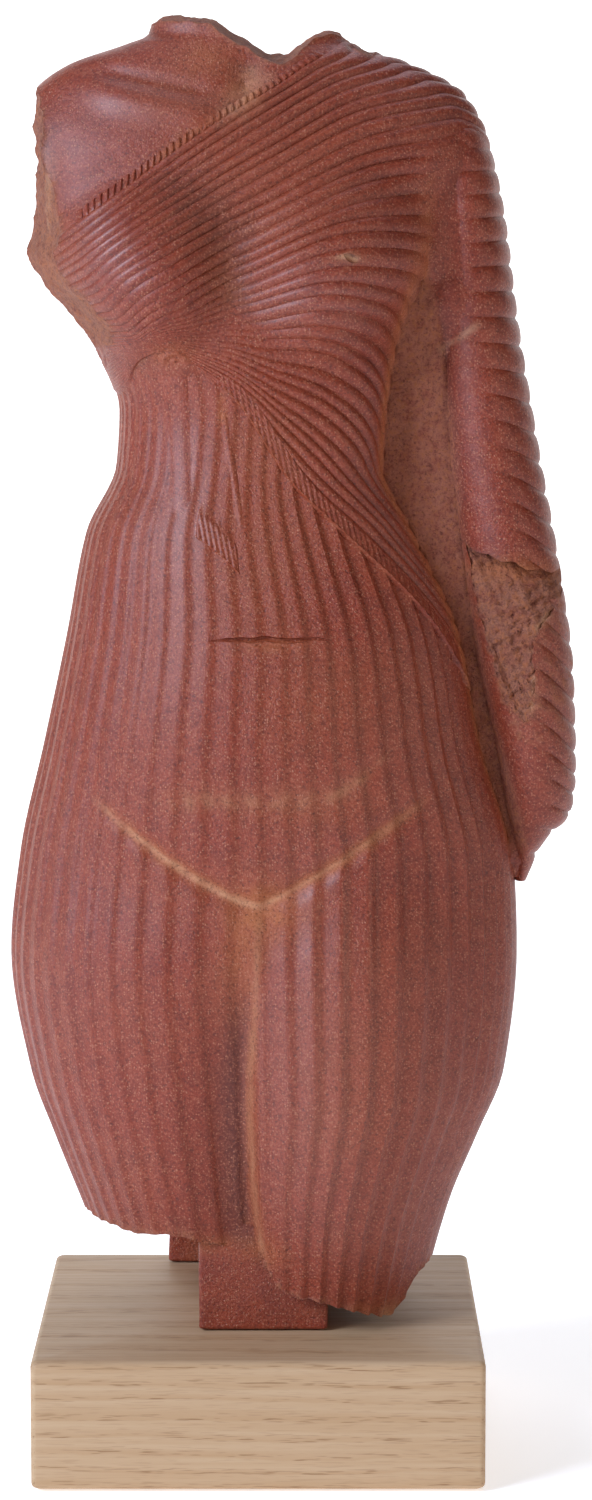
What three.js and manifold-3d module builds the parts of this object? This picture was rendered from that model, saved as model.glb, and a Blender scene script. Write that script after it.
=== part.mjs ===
// A draped torso statuette, cast in one with its short post and back pillar, on a square oak block.
// Millimetres, +Z up, +X to the viewer's right, +Y away from the viewer.
// The origin is the middle of the block's underside.

import * as THREE from "three";
import { mergeVertices } from "three/addons/utils/BufferGeometryUtils.js";
import { RoundedBoxGeometry } from "three/addons/geometries/RoundedBoxGeometry.js";
import Module from "manifold-3d";

// Oak block
const BLOCK_SIDE = 100;
const BLOCK_HEIGHT = 29;
const BLOCK_EDGE = 1.5;
const SEAT_GAP = 0.3;
const BLOCK_EDGE_STEPS = 1;

// Front post and back pillar, which carry the figure
const POST_LEFT = -13.6;
const POST_RIGHT = 15.4;
const POST_FRONT = -24;
const POST_TOP = 54;
const PILLAR_HALF_FOOT = 22.3;
const PILLAR_HALF_TOP = 17;
const PILLAR_FOOT_FRONT = 40;
const PILLAR_FRONT = 8;
const PILLAR_BACK = 46;
const PILLAR_START = 50;
const PILLAR_TOP = 300;
const PILLAR_TOP_FALL = 7;
const POST_IN_HEEL = 1;

// Level sections of the body from the legs to the neck.
// "run" is the way up along the outline: the height itself up to the shoulders, longer over them.
const SECTIONS = [
  { run: 26, height: 26, left: -30, right: 36, front: -25, back: 25, widest: 2 },
  { run: 55, height: 55, left: -41.5, right: 44.1, front: -30, back: 30, widest: 3 },
  { run: 70, height: 70, left: -47.5, right: 50.4, front: -31.7, back: 32.7, widest: 3.5 },
  { run: 85, height: 85, left: -52.9, right: 56.4, front: -33, back: 35, widest: 4 },
  { run: 112, height: 112, left: -57.1, right: 59.4, front: -34, back: 39.5, widest: 4 },
  { run: 135, height: 135, left: -54.8, right: 58.4, front: -32, back: 41, widest: 4 },
  { run: 160, height: 160, left: -49.4, right: 50.6, front: -32, back: 38, widest: 4 },
  { run: 185, height: 185, left: -44, right: 44.5, front: -30, back: 33, widest: 4 },
  { run: 208, height: 208, left: -38.9, right: 34.6, front: -24.5, back: 29, widest: 5 },
  { run: 223, height: 223, left: -32.8, right: 28, front: -20, back: 27, widest: 6 },
  { run: 235, height: 235, left: -31.8, right: 28.8, front: -18, back: 26.5, widest: 7 },
  { run: 250, height: 250, left: -37.6, right: 31.5, front: -18, back: 28, widest: 8 },
  { run: 265, height: 265, left: -52, right: 38, front: -18, back: 30, widest: 8 },
  { run: 274, height: 274, left: -56, right: 43, front: -17.5, back: 31, widest: 8 },
  { run: 283, height: 283, left: -57.2, right: 48.5, front: -16.5, back: 31, widest: 8 },
  { run: 292, height: 292, left: -57, right: 52, front: -15, back: 30, widest: 8 },
  { run: 310, height: 305.5, left: -52, right: 46.6, front: -9.5, back: 26.5, widest: 9 },
  { run: 325, height: 312.5, left: -43.5, right: 34.5, front: -6, back: 23.5, widest: 9 },
  { run: 340, height: 317.3, left: -30, right: 21, front: -4, back: 21, widest: 9 },
  { run: 350, height: 319.5, left: -25, right: 19.3, front: -3.5, back: 20, widest: 9 },
  { run: 362, height: 330, left: -23, right: 18.5, front: -3, back: 19, widest: 9 },
];
// How square a section is: 2 is an ellipse. The front right edge of the chest is squarer, between these runs.
const SQUARENESS = 2.25;
const CHEST_EDGE = { squareness: 1.6, low: 205, from: 235, to: 275, high: 300 };
const MIDDLE_Y = 4;
// The front's and back's bumps fade out to the sides, between these cosines of the direction.
const FACING = { none: 0.05, full: 0.75, turn: 0.2 };

// Bumps on the front: middle, half sizes and how far forward
const BREASTS = [
  { x: -27, z: 267, halfWidth: 23, halfHeight: 24, rise: 7 },
  { x: 18, z: 268, halfWidth: 24, halfHeight: 24, rise: 7 },
];
const BELLY = { x: 0, z: 158, halfWidth: 44, halfHeight: 40, rise: 2.5 };
const THIGHS = [
  { x: -28, z: 84, halfWidth: 30, halfHeight: 60, rise: 1.5 },
  { x: 23, z: 78, halfWidth: 27, halfHeight: 74, rise: 6.5 },
];
const BUTTOCKS = [
  { x: -24, z: 138, halfWidth: 30, halfHeight: 36, rise: 4 },
  { x: 24, z: 138, halfWidth: 30, halfHeight: 36, rise: 4 },
];

// The groin: two lines that meet in a point, and the crease between the thighs below it
const GROIN = {
  x: 0.5, z: 127, halfSpan: 38, climb: 23.5, bendLeft: 1.4, bendRight: 1.1, depth: 1.8, width: 4,
};
const GROIN_FULLNESS = 1.5;
const CREASE = { top: 126, foot: 46, depthTop: 1.8, depthFoot: 5.8, leftWidth: 11, rightWidth: 3.2, full: 6 };
// The crease's x by height
const CREASE_LINE = [
  [46, -1.4], [51, -2.1], [64, -3.6], [83, -4.3], [105, -3.1], [126, -2.1],
];

// The skirt's standing pleats
const SKIRT_PLEATS = 56;
const SKIRT_PLEAT_DEPTH = 0.9;
const SKIRT_ROWS = 13;
const GROIN_ROW = 5;
const GROIN_ROW_STEP = 6;
const SKIRT_RIDGE = 0.8;
const SKIRT_GROOVE = 1.06;

// The shawl: its lower edge and its neckline as runs by direction, in degrees from the front, + to the right
const SHAWL_EDGE = [
  [-180, 232], [-120, 241], [-75, 239], [-58, 241], [-44, 246.5], [-33, 248.5], [-12, 241],
  [12, 224], [45, 199], [75, 172], [100, 160], [140, 186],
];
const NECKLINE = [
  [-180, 311], [-140, 292], [-105, 271], [-75, 268], [-60, 270], [-35, 280.3], [-15, 294.8],
  [5, 311], [25, 326.3], [50, 336.5], [65, 341], [110, 341], [150, 328],
];
const SHAWL_LOW = 200;
const SHAWL_HIGH = 290;
const SHAWL_PLEATS = 33;
const SHAWL_COLUMNS = 26;
// How far the columns swing towards the sides, where the body is most bent, in radians
const SHAWL_SWING = 0.25;
const SHAWL_PROUD = 0.9;
const SHAWL_PLEAT_SHARE = 0.3;
const SHAWL_PLEAT_DEEPEST = 0.8;
// How much of the width the shawl's lower pleats take, by direction: they run together in the knot.
const LOWER_PLEATS = 0.6;
const LOWER_SHARE = [
  [-180, 0.6], [-100, 0.45], [-60, 0.38], [-38, 0.13], [-20, 0.26],
  [5, 0.45], [35, 0.57], [70, 0.6], [120, 0.6],
];
const FAN_SOFTNESS = 0.04;

// Bare shoulder, chest and neck, which also fill the shawl
const SKIN_COLUMNS = 28;
const SKIN_ROWS = 14;
const SKIN_FOOT = 238;
const SKIN_TOP = 362;
const UNDER_SHAWL = 4;
const SUNK = 2.5;

// The arm on the viewer's right, hanging beside the body
const ARM = [
  { height: 128, inner: 58.5, outer: 61, front: 0, back: 6 },
  { height: 137, inner: 57, outer: 64.8, front: -6, back: 9 },
  { height: 146, inner: 54.5, outer: 71.3, front: -10, back: 12 },
  { height: 156, inner: 53, outer: 72.2, front: -12, back: 13 },
  { height: 178, inner: 49, outer: 71, front: -13, back: 14 },
  { height: 200, inner: 46, outer: 68.6, front: -12, back: 16 },
  { height: 228, inner: 41, outer: 63.1, front: -9, back: 19 },
  { height: 255, inner: 39, outer: 58.8, front: -7, back: 21 },
  { height: 280, inner: 38, outer: 55.4, front: -6, back: 22 },
  { height: 297, inner: 36, outer: 51.2, front: -4, back: 21 },
  { height: 304, inner: 34, outer: 45, front: 0, back: 18 },
];
const ARM_PLEATS = 24;
const ARM_COLUMNS = 14;
const ARM_PLEAT_DEPTH = 0.8;
const ARM_TILT_HIGH = 0.2;
const ARM_TILT_LOW = -0.35;
// The tilt fades out over a fifth of the arm at each end.
const ARM_TILT_FADE = 0.2;

// The stone left between the body and the arm, and its front's y by height: set back, closed at the top
const WEB = { back: 20, foot: 131, top: 296, rows: 16, innerShare: 0.6, middleX: 45 };
const WEB_FRONT = [
  [131, -3], [175, -5], [225, -2.5], [245, -3.5], [262, -7.5], [272, -11], [285, -12], [296, -9],
];

// Breaks
const NECK_BREAK = {
  low: 310.6, middleX: -1, halfWidth: 26, outsideRise: 0.55, forwardFall: 0.12, crag: 0.6, size: 13,
};
const NECK_LINE = [
  [-40, 8], [-26, 9], [-21, 11.2], [-14, 10.8], [-10.5, 10.6], [-3.5, 6.4], [2.5, 2.4], [5, 1.9],
  [13, 7.3], [16.5, 8.1], [20, 6.2], [26, 2.9], [40, 8],
];
const SHOULDER_BREAK = {
  pivot: 16, turn: 0.13, moreTurn: 0.14, turnFrom: 272, turnTo: 294, foot: 236, top: 330, crag: 0.9, size: 17,
};
const SHOULDER_LINE = [
  [236, -39.5], [244, -36.9], [250, -38.9], [258, -44.6], [264.5, -50.2], [270, -53], [276, -51.8],
  [288, -50.4], [300, -51], [330, -51],
];
const SHOULDER_FLUSH = { from: 240, to: 256 };
const LEG_BREAK = [
  [-60, 49], [-44, 49.4], [-37, 50.4], [-20, 50.6], [-6, 47.8], [0.5, 46.8], [2, 43.2], [4.5, 39], [9, 37.2],
  [16, 36.3], [20, 34.4], [29, 30.6], [33, 33], [36, 37.5], [60, 44],
];
const LEG_CRAG = { height: 0.6, size: 15 };
const LEG_BREAK_BACK_RISE = 0.1;
const LEG_BREAK_FRONT = -33;
const FOREARM_BREAK = { leftTop: 46.5, leftFoot: 55.5, rightTop: 69, rightFoot: 61.6, foot: 166, top: 201.5 };
const FOREARM_SINK = { y: -10, deeper: 1.3, crag: 0.4, size: 7 };
// The zigzag waves of a broken face: height, way across the face, size and start
const CRAG_WAVES = [
  { height: 0.5, u: 1, v: 0.4, size: 1, start: 0 },
  { height: 0.35, u: -0.3, v: 0.7, size: 0.6, start: 0.3 },
  { height: 0.25, u: 1, v: -0.9, size: 0.4, start: 0.7 },
];
// Into how many steps the broken faces are divided
const BREAK_STEPS = { neck: [24, 6], shoulder: [13, 5], legs: [5, 34], forearm: [6, 8] };
// How far the blocks that cut the breaks reach past the stone
const REACH = { neckX: 40, neckFront: -30, neckBack: 40, legX: 70, legY: 60, beyond: 40 };

// Steps for finding a normal, and the distance at which points are merged
const SMALL_STEP = 0.01;
const MERGE_DISTANCE = 1e-4;

const STONE = new THREE.MeshStandardMaterial({ color: 0x8a4a3e, roughness: 0.5, metalness: 0 });
const OAK = new THREE.MeshStandardMaterial({ color: 0xc6a884, roughness: 0.6, metalness: 0 });

const { smoothstep, lerp, clamp, euclideanModulo, DEG2RAD } = THREE.MathUtils;

const wasm = await Module();
wasm.setup();

// A smooth curve through [place, value] points, whose slopes are held back so that it never overshoots.
function curveThrough(points) {
  const slope = (i) => (points[i + 1][1] - points[i][1]) / (points[i + 1][0] - points[i][0]);
  const last = points.length - 1;
  const tangents = points.map((_, i) => {
    if (i === 0) return slope(0);
    if (i === last) return slope(last - 1);
    const [before, after] = [slope(i - 1), slope(i)];
    return before * after <= 0 ? 0 : (2 * before * after) / (before + after);
  });
  return (place) => {
    const at = clamp(place, points[0][0], points[last][0]);
    let i = 0;
    while (i < last - 1 && at > points[i + 1][0]) i += 1;
    const span = points[i + 1][0] - points[i][0];
    const t = (at - points[i][0]) / span;
    const flat = t * t * (3 - 2 * t);
    return (
      points[i][1] * (1 - flat) +
      points[i + 1][1] * flat +
      span * (t * (1 - t) * (1 - t) * tangents[i] - t * t * (1 - t) * tangents[i + 1])
    );
  };
}

// The same for a curve that closes round the body, over directions in degrees.
function curveRound(points) {
  const before = points.map(([at, value]) => [at - 360, value]);
  const after = points.map(([at, value]) => [at + 360, value]);
  const curve = curveThrough([...before, ...points, ...after]);
  return (angle) => curve(euclideanModulo(angle / DEG2RAD + 180, 360) - 180);
}

const sectionCurve = (key) => curveThrough(SECTIONS.map((section) => [section.run, section[key]]));
const body = {
  height: sectionCurve("height"),
  left: sectionCurve("left"),
  right: sectionCurve("right"),
  front: sectionCurve("front"),
  back: sectionCurve("back"),
  widest: sectionCurve("widest"),
};
const armCurve = (key) => curveThrough(ARM.map((ring) => [ring.height, ring[key]]));
const arm = {
  inner: armCurve("inner"),
  outer: armCurve("outer"),
  front: armCurve("front"),
  back: armCurve("back"),
};
const edgeRun = curveRound(SHAWL_EDGE);
const neckRun = curveRound(NECKLINE);
const lowerShare = curveRound(LOWER_SHARE);
const creaseLine = curveThrough(CREASE_LINE);
const webFront = curveThrough(WEB_FRONT);
const neckLine = curveThrough(NECK_LINE);
const shoulderLine = curveThrough(SHOULDER_LINE);
const legLine = curveThrough(LEG_BREAK);

// A round bump that is flat at its rim.
function dome(x, z, bump) {
  const far = ((x - bump.x) / bump.halfWidth) ** 2 + ((z - bump.z) / bump.halfHeight) ** 2;
  return far < 1 ? bump.rise * (1 - far) ** 2 * (1 + far) : 0;
}

// The height of the groin's lines, by the share of the way from their meeting point to the hip.
function groinHeight(isLeft, reach) {
  return GROIN.z + GROIN.climb * reach ** (isLeft ? GROIN.bendLeft : GROIN.bendRight);
}

// How far the front stands forward at a place, over the plain section.
function frontRelief(x, z) {
  let forward = dome(x, z, BELLY);
  for (const bump of [...BREASTS, ...THIGHS]) forward += dome(x, z, bump);
  const reach = Math.min(Math.abs(x - GROIN.x) / GROIN.halfSpan, 1);
  const across = (z - groinHeight(x < GROIN.x, reach)) / GROIN.width;
  forward -= GROIN.depth * Math.exp(-across * across) * (1 - reach ** 4);
  const down = smoothstep(CREASE.top - z, 0, CREASE.top - CREASE.foot);
  const side = x - creaseLine(z);
  const near = side / (side < 0 ? CREASE.leftWidth : CREASE.rightWidth);
  const depth = lerp(CREASE.depthTop, CREASE.depthFoot, down);
  forward -= depth * Math.min(down * CREASE.full, 1) * Math.exp(-near * near);
  return forward;
}

// The bare body: a level section with rounded-square halves in front of and behind its widest line.
function bodyPoint(angle, run) {
  const halfWidth = (body.right(run) - body.left(run)) / 2;
  const sideways = Math.sin(angle);
  const forwards = Math.cos(angle);
  const { low, from, to, high } = CHEST_EDGE;
  const squarer = smoothstep(run, low, from) * (1 - smoothstep(run, to, high));
  const onEdge = Math.max(sideways, 0) * smoothstep(forwards, -FACING.turn, FACING.turn);
  const power = SQUARENESS + CHEST_EDGE.squareness * squarer * onEdge;
  const size = (Math.abs(sideways) ** power + Math.abs(forwards) ** power) ** (-1 / power);
  const x = (body.right(run) + body.left(run)) / 2 + halfWidth * sideways * size;
  const z = body.height(run);
  const widest = body.widest(run);
  const depth = forwards > 0 ? widest - body.front(run) : body.back(run) - widest;
  let y = widest - depth * forwards * size;
  const facing = smoothstep(Math.abs(forwards), FACING.none, FACING.full);
  if (forwards > 0) y -= frontRelief(x, z) * facing;
  else for (const bump of BUTTOCKS) y += dome(x, z, bump) * facing;
  return new THREE.Vector3(x, y, z);
}

// A point that stands proud of a surface along its own normal.
function lifted(surface, angle, along, lift) {
  const point = surface(angle, along);
  const round = surface(angle + SMALL_STEP, along).sub(surface(angle - SMALL_STEP, along));
  const up = surface(angle, along + SMALL_STEP).sub(surface(angle, along - SMALL_STEP));
  return point.addScaledVector(round.cross(up).normalize(), lift);
}

// A closed solid from a cylinder whose columns and rows are moved to new places.
// place(column, row) gives a point on the wall, and middle(share) the middle of each end.
function loft(columns, rows, place, middle) {
  const geometry = new THREE.CylinderGeometry(1, 1, 1, columns, rows);
  geometry.rotateX(Math.PI / 2);
  const position = geometry.getAttribute("position");
  const vertex = new THREE.Vector3();
  for (let i = 0; i < position.count; i += 1) {
    vertex.fromBufferAttribute(position, i);
    const share = vertex.z + 0.5;
    if (Math.hypot(vertex.x, vertex.y) < 0.5) {
      vertex.copy(middle(share));
    } else {
      const turn = Math.atan2(vertex.x, -vertex.y) / (2 * Math.PI);
      const column = euclideanModulo(Math.round(turn * columns), columns);
      vertex.copy(place(column, Math.round(share * rows)));
    }
    position.setXYZ(i, vertex.x, vertex.y, vertex.z);
  }
  return solidFrom(geometry);
}

function solidFrom(geometry) {
  geometry.deleteAttribute("normal");
  geometry.deleteAttribute("uv");
  const merged = mergeVertices(geometry, MERGE_DISTANCE);
  return new wasm.Manifold(
    new wasm.Mesh({
      numProp: 3,
      vertProperties: new Float32Array(merged.getAttribute("position").array),
      triVerts: new Uint32Array(merged.index.array),
    }),
  );
}

function meshFrom(solid, name, material) {
  const { vertProperties, triVerts } = solid.getMesh();
  const indexed = new THREE.BufferGeometry();
  indexed.setAttribute("position", new THREE.BufferAttribute(vertProperties, 3));
  indexed.setIndex(new THREE.BufferAttribute(triVerts, 1));
  const geometry = indexed.toNonIndexed();
  geometry.computeVertexNormals();
  const mesh = new THREE.Mesh(geometry, material);
  mesh.name = name;
  return mesh;
}

// The run of a row of the skirt: one row follows the groin, with a row close below and one close above it.
function skirtRun(angle, row) {
  const foot = SECTIONS[0].run;
  const top = edgeRun(angle) + UNDER_SHAWL;
  const reach = Math.cos(angle) > 0 ? Math.abs(Math.sin(angle)) : 1;
  const groin = groinHeight(Math.sin(angle) < 0, Math.min(reach * GROIN_FULLNESS, 1));
  if (row < GROIN_ROW) return foot + ((groin - GROIN_ROW_STEP - foot) * row) / (GROIN_ROW - 1);
  if (row === GROIN_ROW) return groin;
  if (row === SKIRT_ROWS) return top;
  const above = (row - GROIN_ROW - 1) / (SKIRT_ROWS - GROIN_ROW - 2);
  return lerp(groin + GROIN_ROW_STEP, top - UNDER_SHAWL / 2, above);
}

// The skirt: two columns for each pleat, a ridge and the groove it laps over.
function makeSkirt() {
  const columns = 2 * SKIRT_PLEATS;
  return loft(
    columns,
    SKIRT_ROWS,
    (column, row) => {
      const ridge = column % 2 === 0;
      const pleat = Math.floor(column / 2) + (ridge ? SKIRT_RIDGE : SKIRT_GROOVE);
      const angle = (2 * Math.PI * pleat) / SKIRT_PLEATS;
      const lift = row === SKIRT_ROWS ? -SUNK : 0;
      return lifted(bodyPoint, angle, skirtRun(angle, row), ridge ? lift : lift - SKIRT_PLEAT_DEPTH);
    },
    (share) => new THREE.Vector3(0, MIDDLE_Y, share < 0.5 ? SECTIONS[0].height : SHAWL_LOW + 2 * UNDER_SHAWL),
  );
}

// Where a row of the shawl runs, as a share of its width: two straight lines with a soft bend between them,
// so that the lower pleats take only their share of the width.
function fan(share, angle) {
  const below = lowerShare(angle) / LOWER_PLEATS;
  const above = (1 - lowerShare(angle)) / (1 - LOWER_PLEATS);
  const bent = (at) => FAN_SOFTNESS * Math.log1p(Math.exp((at - LOWER_PLEATS) / FAN_SOFTNESS));
  const place = (at) => below * at + (above - below) * (bent(at) - bent(0));
  return place(share) / place(1);
}

// The shawl: two rows for each pleat, fanned between its lower edge and the neckline.
function makeShawl() {
  const rows = 2 * SHAWL_PLEATS;
  return loft(
    SHAWL_COLUMNS,
    rows,
    (column, row) => {
      const turn = (2 * Math.PI * column) / SHAWL_COLUMNS;
      const angle = turn + SHAWL_SWING * Math.sin(2 * turn);
      const width = neckRun(angle) - edgeRun(angle);
      const above = fan(Math.min(row + 1, rows) / rows, angle);
      const below = fan(Math.max(row - 1, 0) / rows, angle);
      const depth = Math.min(SHAWL_PLEAT_SHARE * width * (above - below), SHAWL_PLEAT_DEEPEST);
      const run = edgeRun(angle) + width * fan(row / rows, angle);
      return lifted(bodyPoint, angle, run, row % 2 === 0 ? SHAWL_PROUD - depth : SHAWL_PROUD);
    },
    (share) => new THREE.Vector3(0, MIDDLE_Y, share < 0.5 ? SHAWL_LOW : SHAWL_HIGH),
  );
}

function makeSkin() {
  return loft(
    SKIN_COLUMNS,
    SKIN_ROWS,
    (column, row) => {
      const angle = (2 * Math.PI * column) / SKIN_COLUMNS;
      const run = SKIN_FOOT + ((SKIN_TOP - SKIN_FOOT) * row) / SKIN_ROWS;
      const covered = smoothstep(neckRun(angle) - run, 0, UNDER_SHAWL);
      return lifted(bodyPoint, angle, run, -SUNK * covered);
    },
    (share) => new THREE.Vector3(0, MIDDLE_Y, share < 0.5 ? body.height(SKIN_FOOT) : body.height(SKIN_TOP)),
  );
}

function armPoint(angle, height) {
  const halfWidth = (arm.outer(height) - arm.inner(height)) / 2;
  const halfDepth = (arm.back(height) - arm.front(height)) / 2;
  const across = halfWidth * Math.sin(angle);
  const share = (height - ARM[0].height) / (ARM[ARM.length - 1].height - ARM[0].height);
  const ends = clamp(Math.min(share, 1 - share) / ARM_TILT_FADE, 0, 1);
  const tilt = ends * lerp(ARM_TILT_LOW, ARM_TILT_HIGH, share);
  return new THREE.Vector3(
    (arm.outer(height) + arm.inner(height)) / 2 + across,
    (arm.back(height) + arm.front(height)) / 2 - halfDepth * Math.cos(angle),
    height + tilt * across,
  );
}

// The sleeve on the arm: two rows for each ring pleat.
function makeArm() {
  const rows = 2 * ARM_PLEATS;
  const foot = ARM[0].height;
  const top = ARM[ARM.length - 1].height;
  return loft(
    ARM_COLUMNS,
    rows,
    (column, row) => {
      const angle = (2 * Math.PI * column) / ARM_COLUMNS;
      const height = foot + ((top - foot) * row) / rows;
      const inside = row > 0 && row < rows && row % 2 === 0;
      return lifted(armPoint, angle, height, inside ? -ARM_PLEAT_DEPTH : 0);
    },
    (share) => armPoint(0, share < 0.5 ? foot : top).setY(MIDDLE_Y),
  );
}

// The web fills the space from inside the body to the middle of the arm.
function makeWeb() {
  return loft(
    4,
    WEB.rows,
    (column, row) => {
      const height = lerp(WEB.foot, WEB.top, row / WEB.rows);
      const inner = column === 0 || column === 3;
      const middle = (arm.inner(height) + arm.outer(height)) / 2;
      const x = inner ? body.right(height) * WEB.innerShare : middle;
      const front = inner ? webFront(height) : Math.max(webFront(height), arm.front(height));
      return new THREE.Vector3(x, column < 2 ? front : WEB.back, height);
    },
    (share) => new THREE.Vector3(WEB.middleX, WEB.back / 2, share < 0.5 ? WEB.foot : WEB.top),
  );
}

// The pillar: its side view drawn out to one unit each way, then widened to its half width, which narrows
// above the heel on which it stands.
function makePillar() {
  const seat = BLOCK_HEIGHT + SEAT_GAP;
  const side = new THREE.Shape([
    new THREE.Vector2(PILLAR_BACK, seat),
    new THREE.Vector2(PILLAR_BACK, PILLAR_TOP - PILLAR_TOP_FALL),
    new THREE.Vector2(PILLAR_FRONT, PILLAR_TOP),
    new THREE.Vector2(PILLAR_FRONT, PILLAR_START),
    new THREE.Vector2(PILLAR_FOOT_FRONT, PILLAR_START),
    new THREE.Vector2(PILLAR_FOOT_FRONT, seat),
  ]);
  const geometry = new THREE.ExtrudeGeometry(side, { depth: 2, bevelEnabled: false });
  geometry.translate(0, 0, -1);
  const position = geometry.getAttribute("position");
  for (let i = 0; i < position.count; i += 1) {
    const height = position.getY(i);
    const up = Math.max(0, height - PILLAR_START) / (PILLAR_TOP - PILLAR_START);
    const halfWidth = lerp(PILLAR_HALF_FOOT, PILLAR_HALF_TOP, up);
    position.setXYZ(i, position.getZ(i) * halfWidth, position.getX(i), height);
  }
  return solidFrom(geometry);
}

function makePost() {
  const low = new THREE.Vector3(POST_LEFT, POST_FRONT, BLOCK_HEIGHT + SEAT_GAP);
  const size = new THREE.Vector3(POST_RIGHT, PILLAR_FOOT_FRONT + POST_IN_HEEL, POST_TOP).sub(low);
  const geometry = new THREE.BoxGeometry(size.x, size.y, size.z);
  geometry.translate(low.x + size.x / 2, low.y + size.y / 2, low.z + size.z / 2);
  return solidFrom(geometry);
}

// A zigzag wave between -1 and 1, and a broken surface made of three of them that cross.
const zigzag = (t) => 4 * Math.abs(t - Math.floor(t) - 0.5) - 1;
function crag(u, v, size) {
  let height = 0;
  for (const wave of CRAG_WAVES) {
    height += wave.height * zigzag((wave.u * u + wave.v * v) / (wave.size * size) + wave.start);
  }
  return height;
}

// A block that takes away what lies past a broken face.
// face(u, v) gives the face as a point; back is how far the block goes on behind it.
function breakBlock(uRange, vRange, steps, face, back) {
  const [across, along] = steps;
  const geometry = new THREE.BoxGeometry(1, 1, 1, across, along, 1);
  const position = geometry.getAttribute("position");
  for (let i = 0; i < position.count; i += 1) {
    const u = lerp(uRange[0], uRange[1], position.getX(i) + 0.5);
    const v = lerp(vRange[0], vRange[1], position.getY(i) + 0.5);
    const point = face(u, v);
    if (position.getZ(i) > 0) point.add(back);
    position.setXYZ(i, point.x, point.y, point.z);
  }
  return solidFrom(geometry);
}

// The neck's break: two humps with a dip between them, falling a little to the front.
function neckBreak() {
  const { low, middleX, halfWidth, outsideRise, forwardFall } = NECK_BREAK;
  return breakBlock(
    [-REACH.neckX, REACH.neckX],
    [REACH.neckFront, REACH.neckBack],
    BREAK_STEPS.neck,
    (x, y) => {
      const outside = outsideRise * Math.max(0, Math.abs(x - middleX) - halfWidth);
      const rough = NECK_BREAK.crag * crag(x, y, NECK_BREAK.size);
      return new THREE.Vector3(x, y, low + neckLine(x) + outside + forwardFall * y + rough);
    },
    new THREE.Vector3(0, 0, REACH.beyond),
  );
}

// The shoulder's break: an upright face that draws in below, turns most between the two, and ends flush.
function shoulderBreak() {
  const { pivot, turn, moreTurn, turnFrom, turnTo, foot, top, size } = SHOULDER_BREAK;
  return breakBlock(
    [foot, top],
    [-REACH.beyond, REACH.beyond],
    BREAK_STEPS.shoulder,
    (z, y) => {
      const full = smoothstep(z, SHOULDER_FLUSH.from, SHOULDER_FLUSH.to);
      const turned = (turn + moreTurn * full * (1 - smoothstep(z, turnFrom, turnTo))) * (y - pivot);
      const rough = SHOULDER_BREAK.crag * full * crag(y, z, size);
      return new THREE.Vector3(shoulderLine(z) - turned + rough, y, z);
    },
    new THREE.Vector3(-REACH.beyond, 0, 0),
  );
}

// The legs' broken ends, which rise a little to the back.
function legEndBreak() {
  return breakBlock(
    [-REACH.legY, REACH.legY],
    [-REACH.legX, REACH.legX],
    BREAK_STEPS.legs,
    (y, x) => {
      const rise = LEG_BREAK_BACK_RISE * (y - LEG_BREAK_FRONT);
      return new THREE.Vector3(x, y, legLine(x) + rise + LEG_CRAG.height * crag(x, y, LEG_CRAG.size));
    },
    new THREE.Vector3(0, 0, -REACH.legY),
  );
}

// The patch broken off the forearm: wide under its lip, where it is deepest, and narrow at its foot.
function forearmBreak() {
  const { leftTop, leftFoot, rightTop, rightFoot, foot, top } = FOREARM_BREAK;
  return breakBlock(
    [0, 1],
    [0, 1],
    BREAK_STEPS.forearm,
    (across, up) => {
      const z = lerp(foot, top, up);
      const x = lerp(lerp(leftFoot, leftTop, up), lerp(rightFoot, rightTop, up ** 2), across);
      const y = FOREARM_SINK.y + FOREARM_SINK.deeper * up + FOREARM_SINK.crag * crag(x, z, FOREARM_SINK.size);
      return new THREE.Vector3(x, y, z);
    },
    new THREE.Vector3(0, -REACH.beyond, 0),
  );
}

function makeTorso() {
  let solid = makeSkirt().add(makeSkin()).add(makeShawl()).add(makeArm()).add(makeWeb());
  for (const cut of [neckBreak(), shoulderBreak(), legEndBreak(), forearmBreak()]) {
    solid = solid.subtract(cut);
  }
  return solid
    .add(makePillar())
    .add(makePost())
    .decompose()
    .reduce((largest, part) => (part.volume() > largest.volume() ? part : largest));
}

const group = new THREE.Group();
group.add(meshFrom(makeTorso(), "torso", STONE));

const block = new RoundedBoxGeometry(BLOCK_SIDE, BLOCK_SIDE, BLOCK_HEIGHT, BLOCK_EDGE_STEPS, BLOCK_EDGE);
const plinth = new THREE.Mesh(block, OAK);
plinth.name = "plinth";
plinth.position.z = BLOCK_HEIGHT / 2;
group.add(plinth);

export default group;
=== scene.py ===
"""A draped torso statuette of red-brown cast stone, in one with its post and back pillar, on an oak block."""

import math

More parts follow.
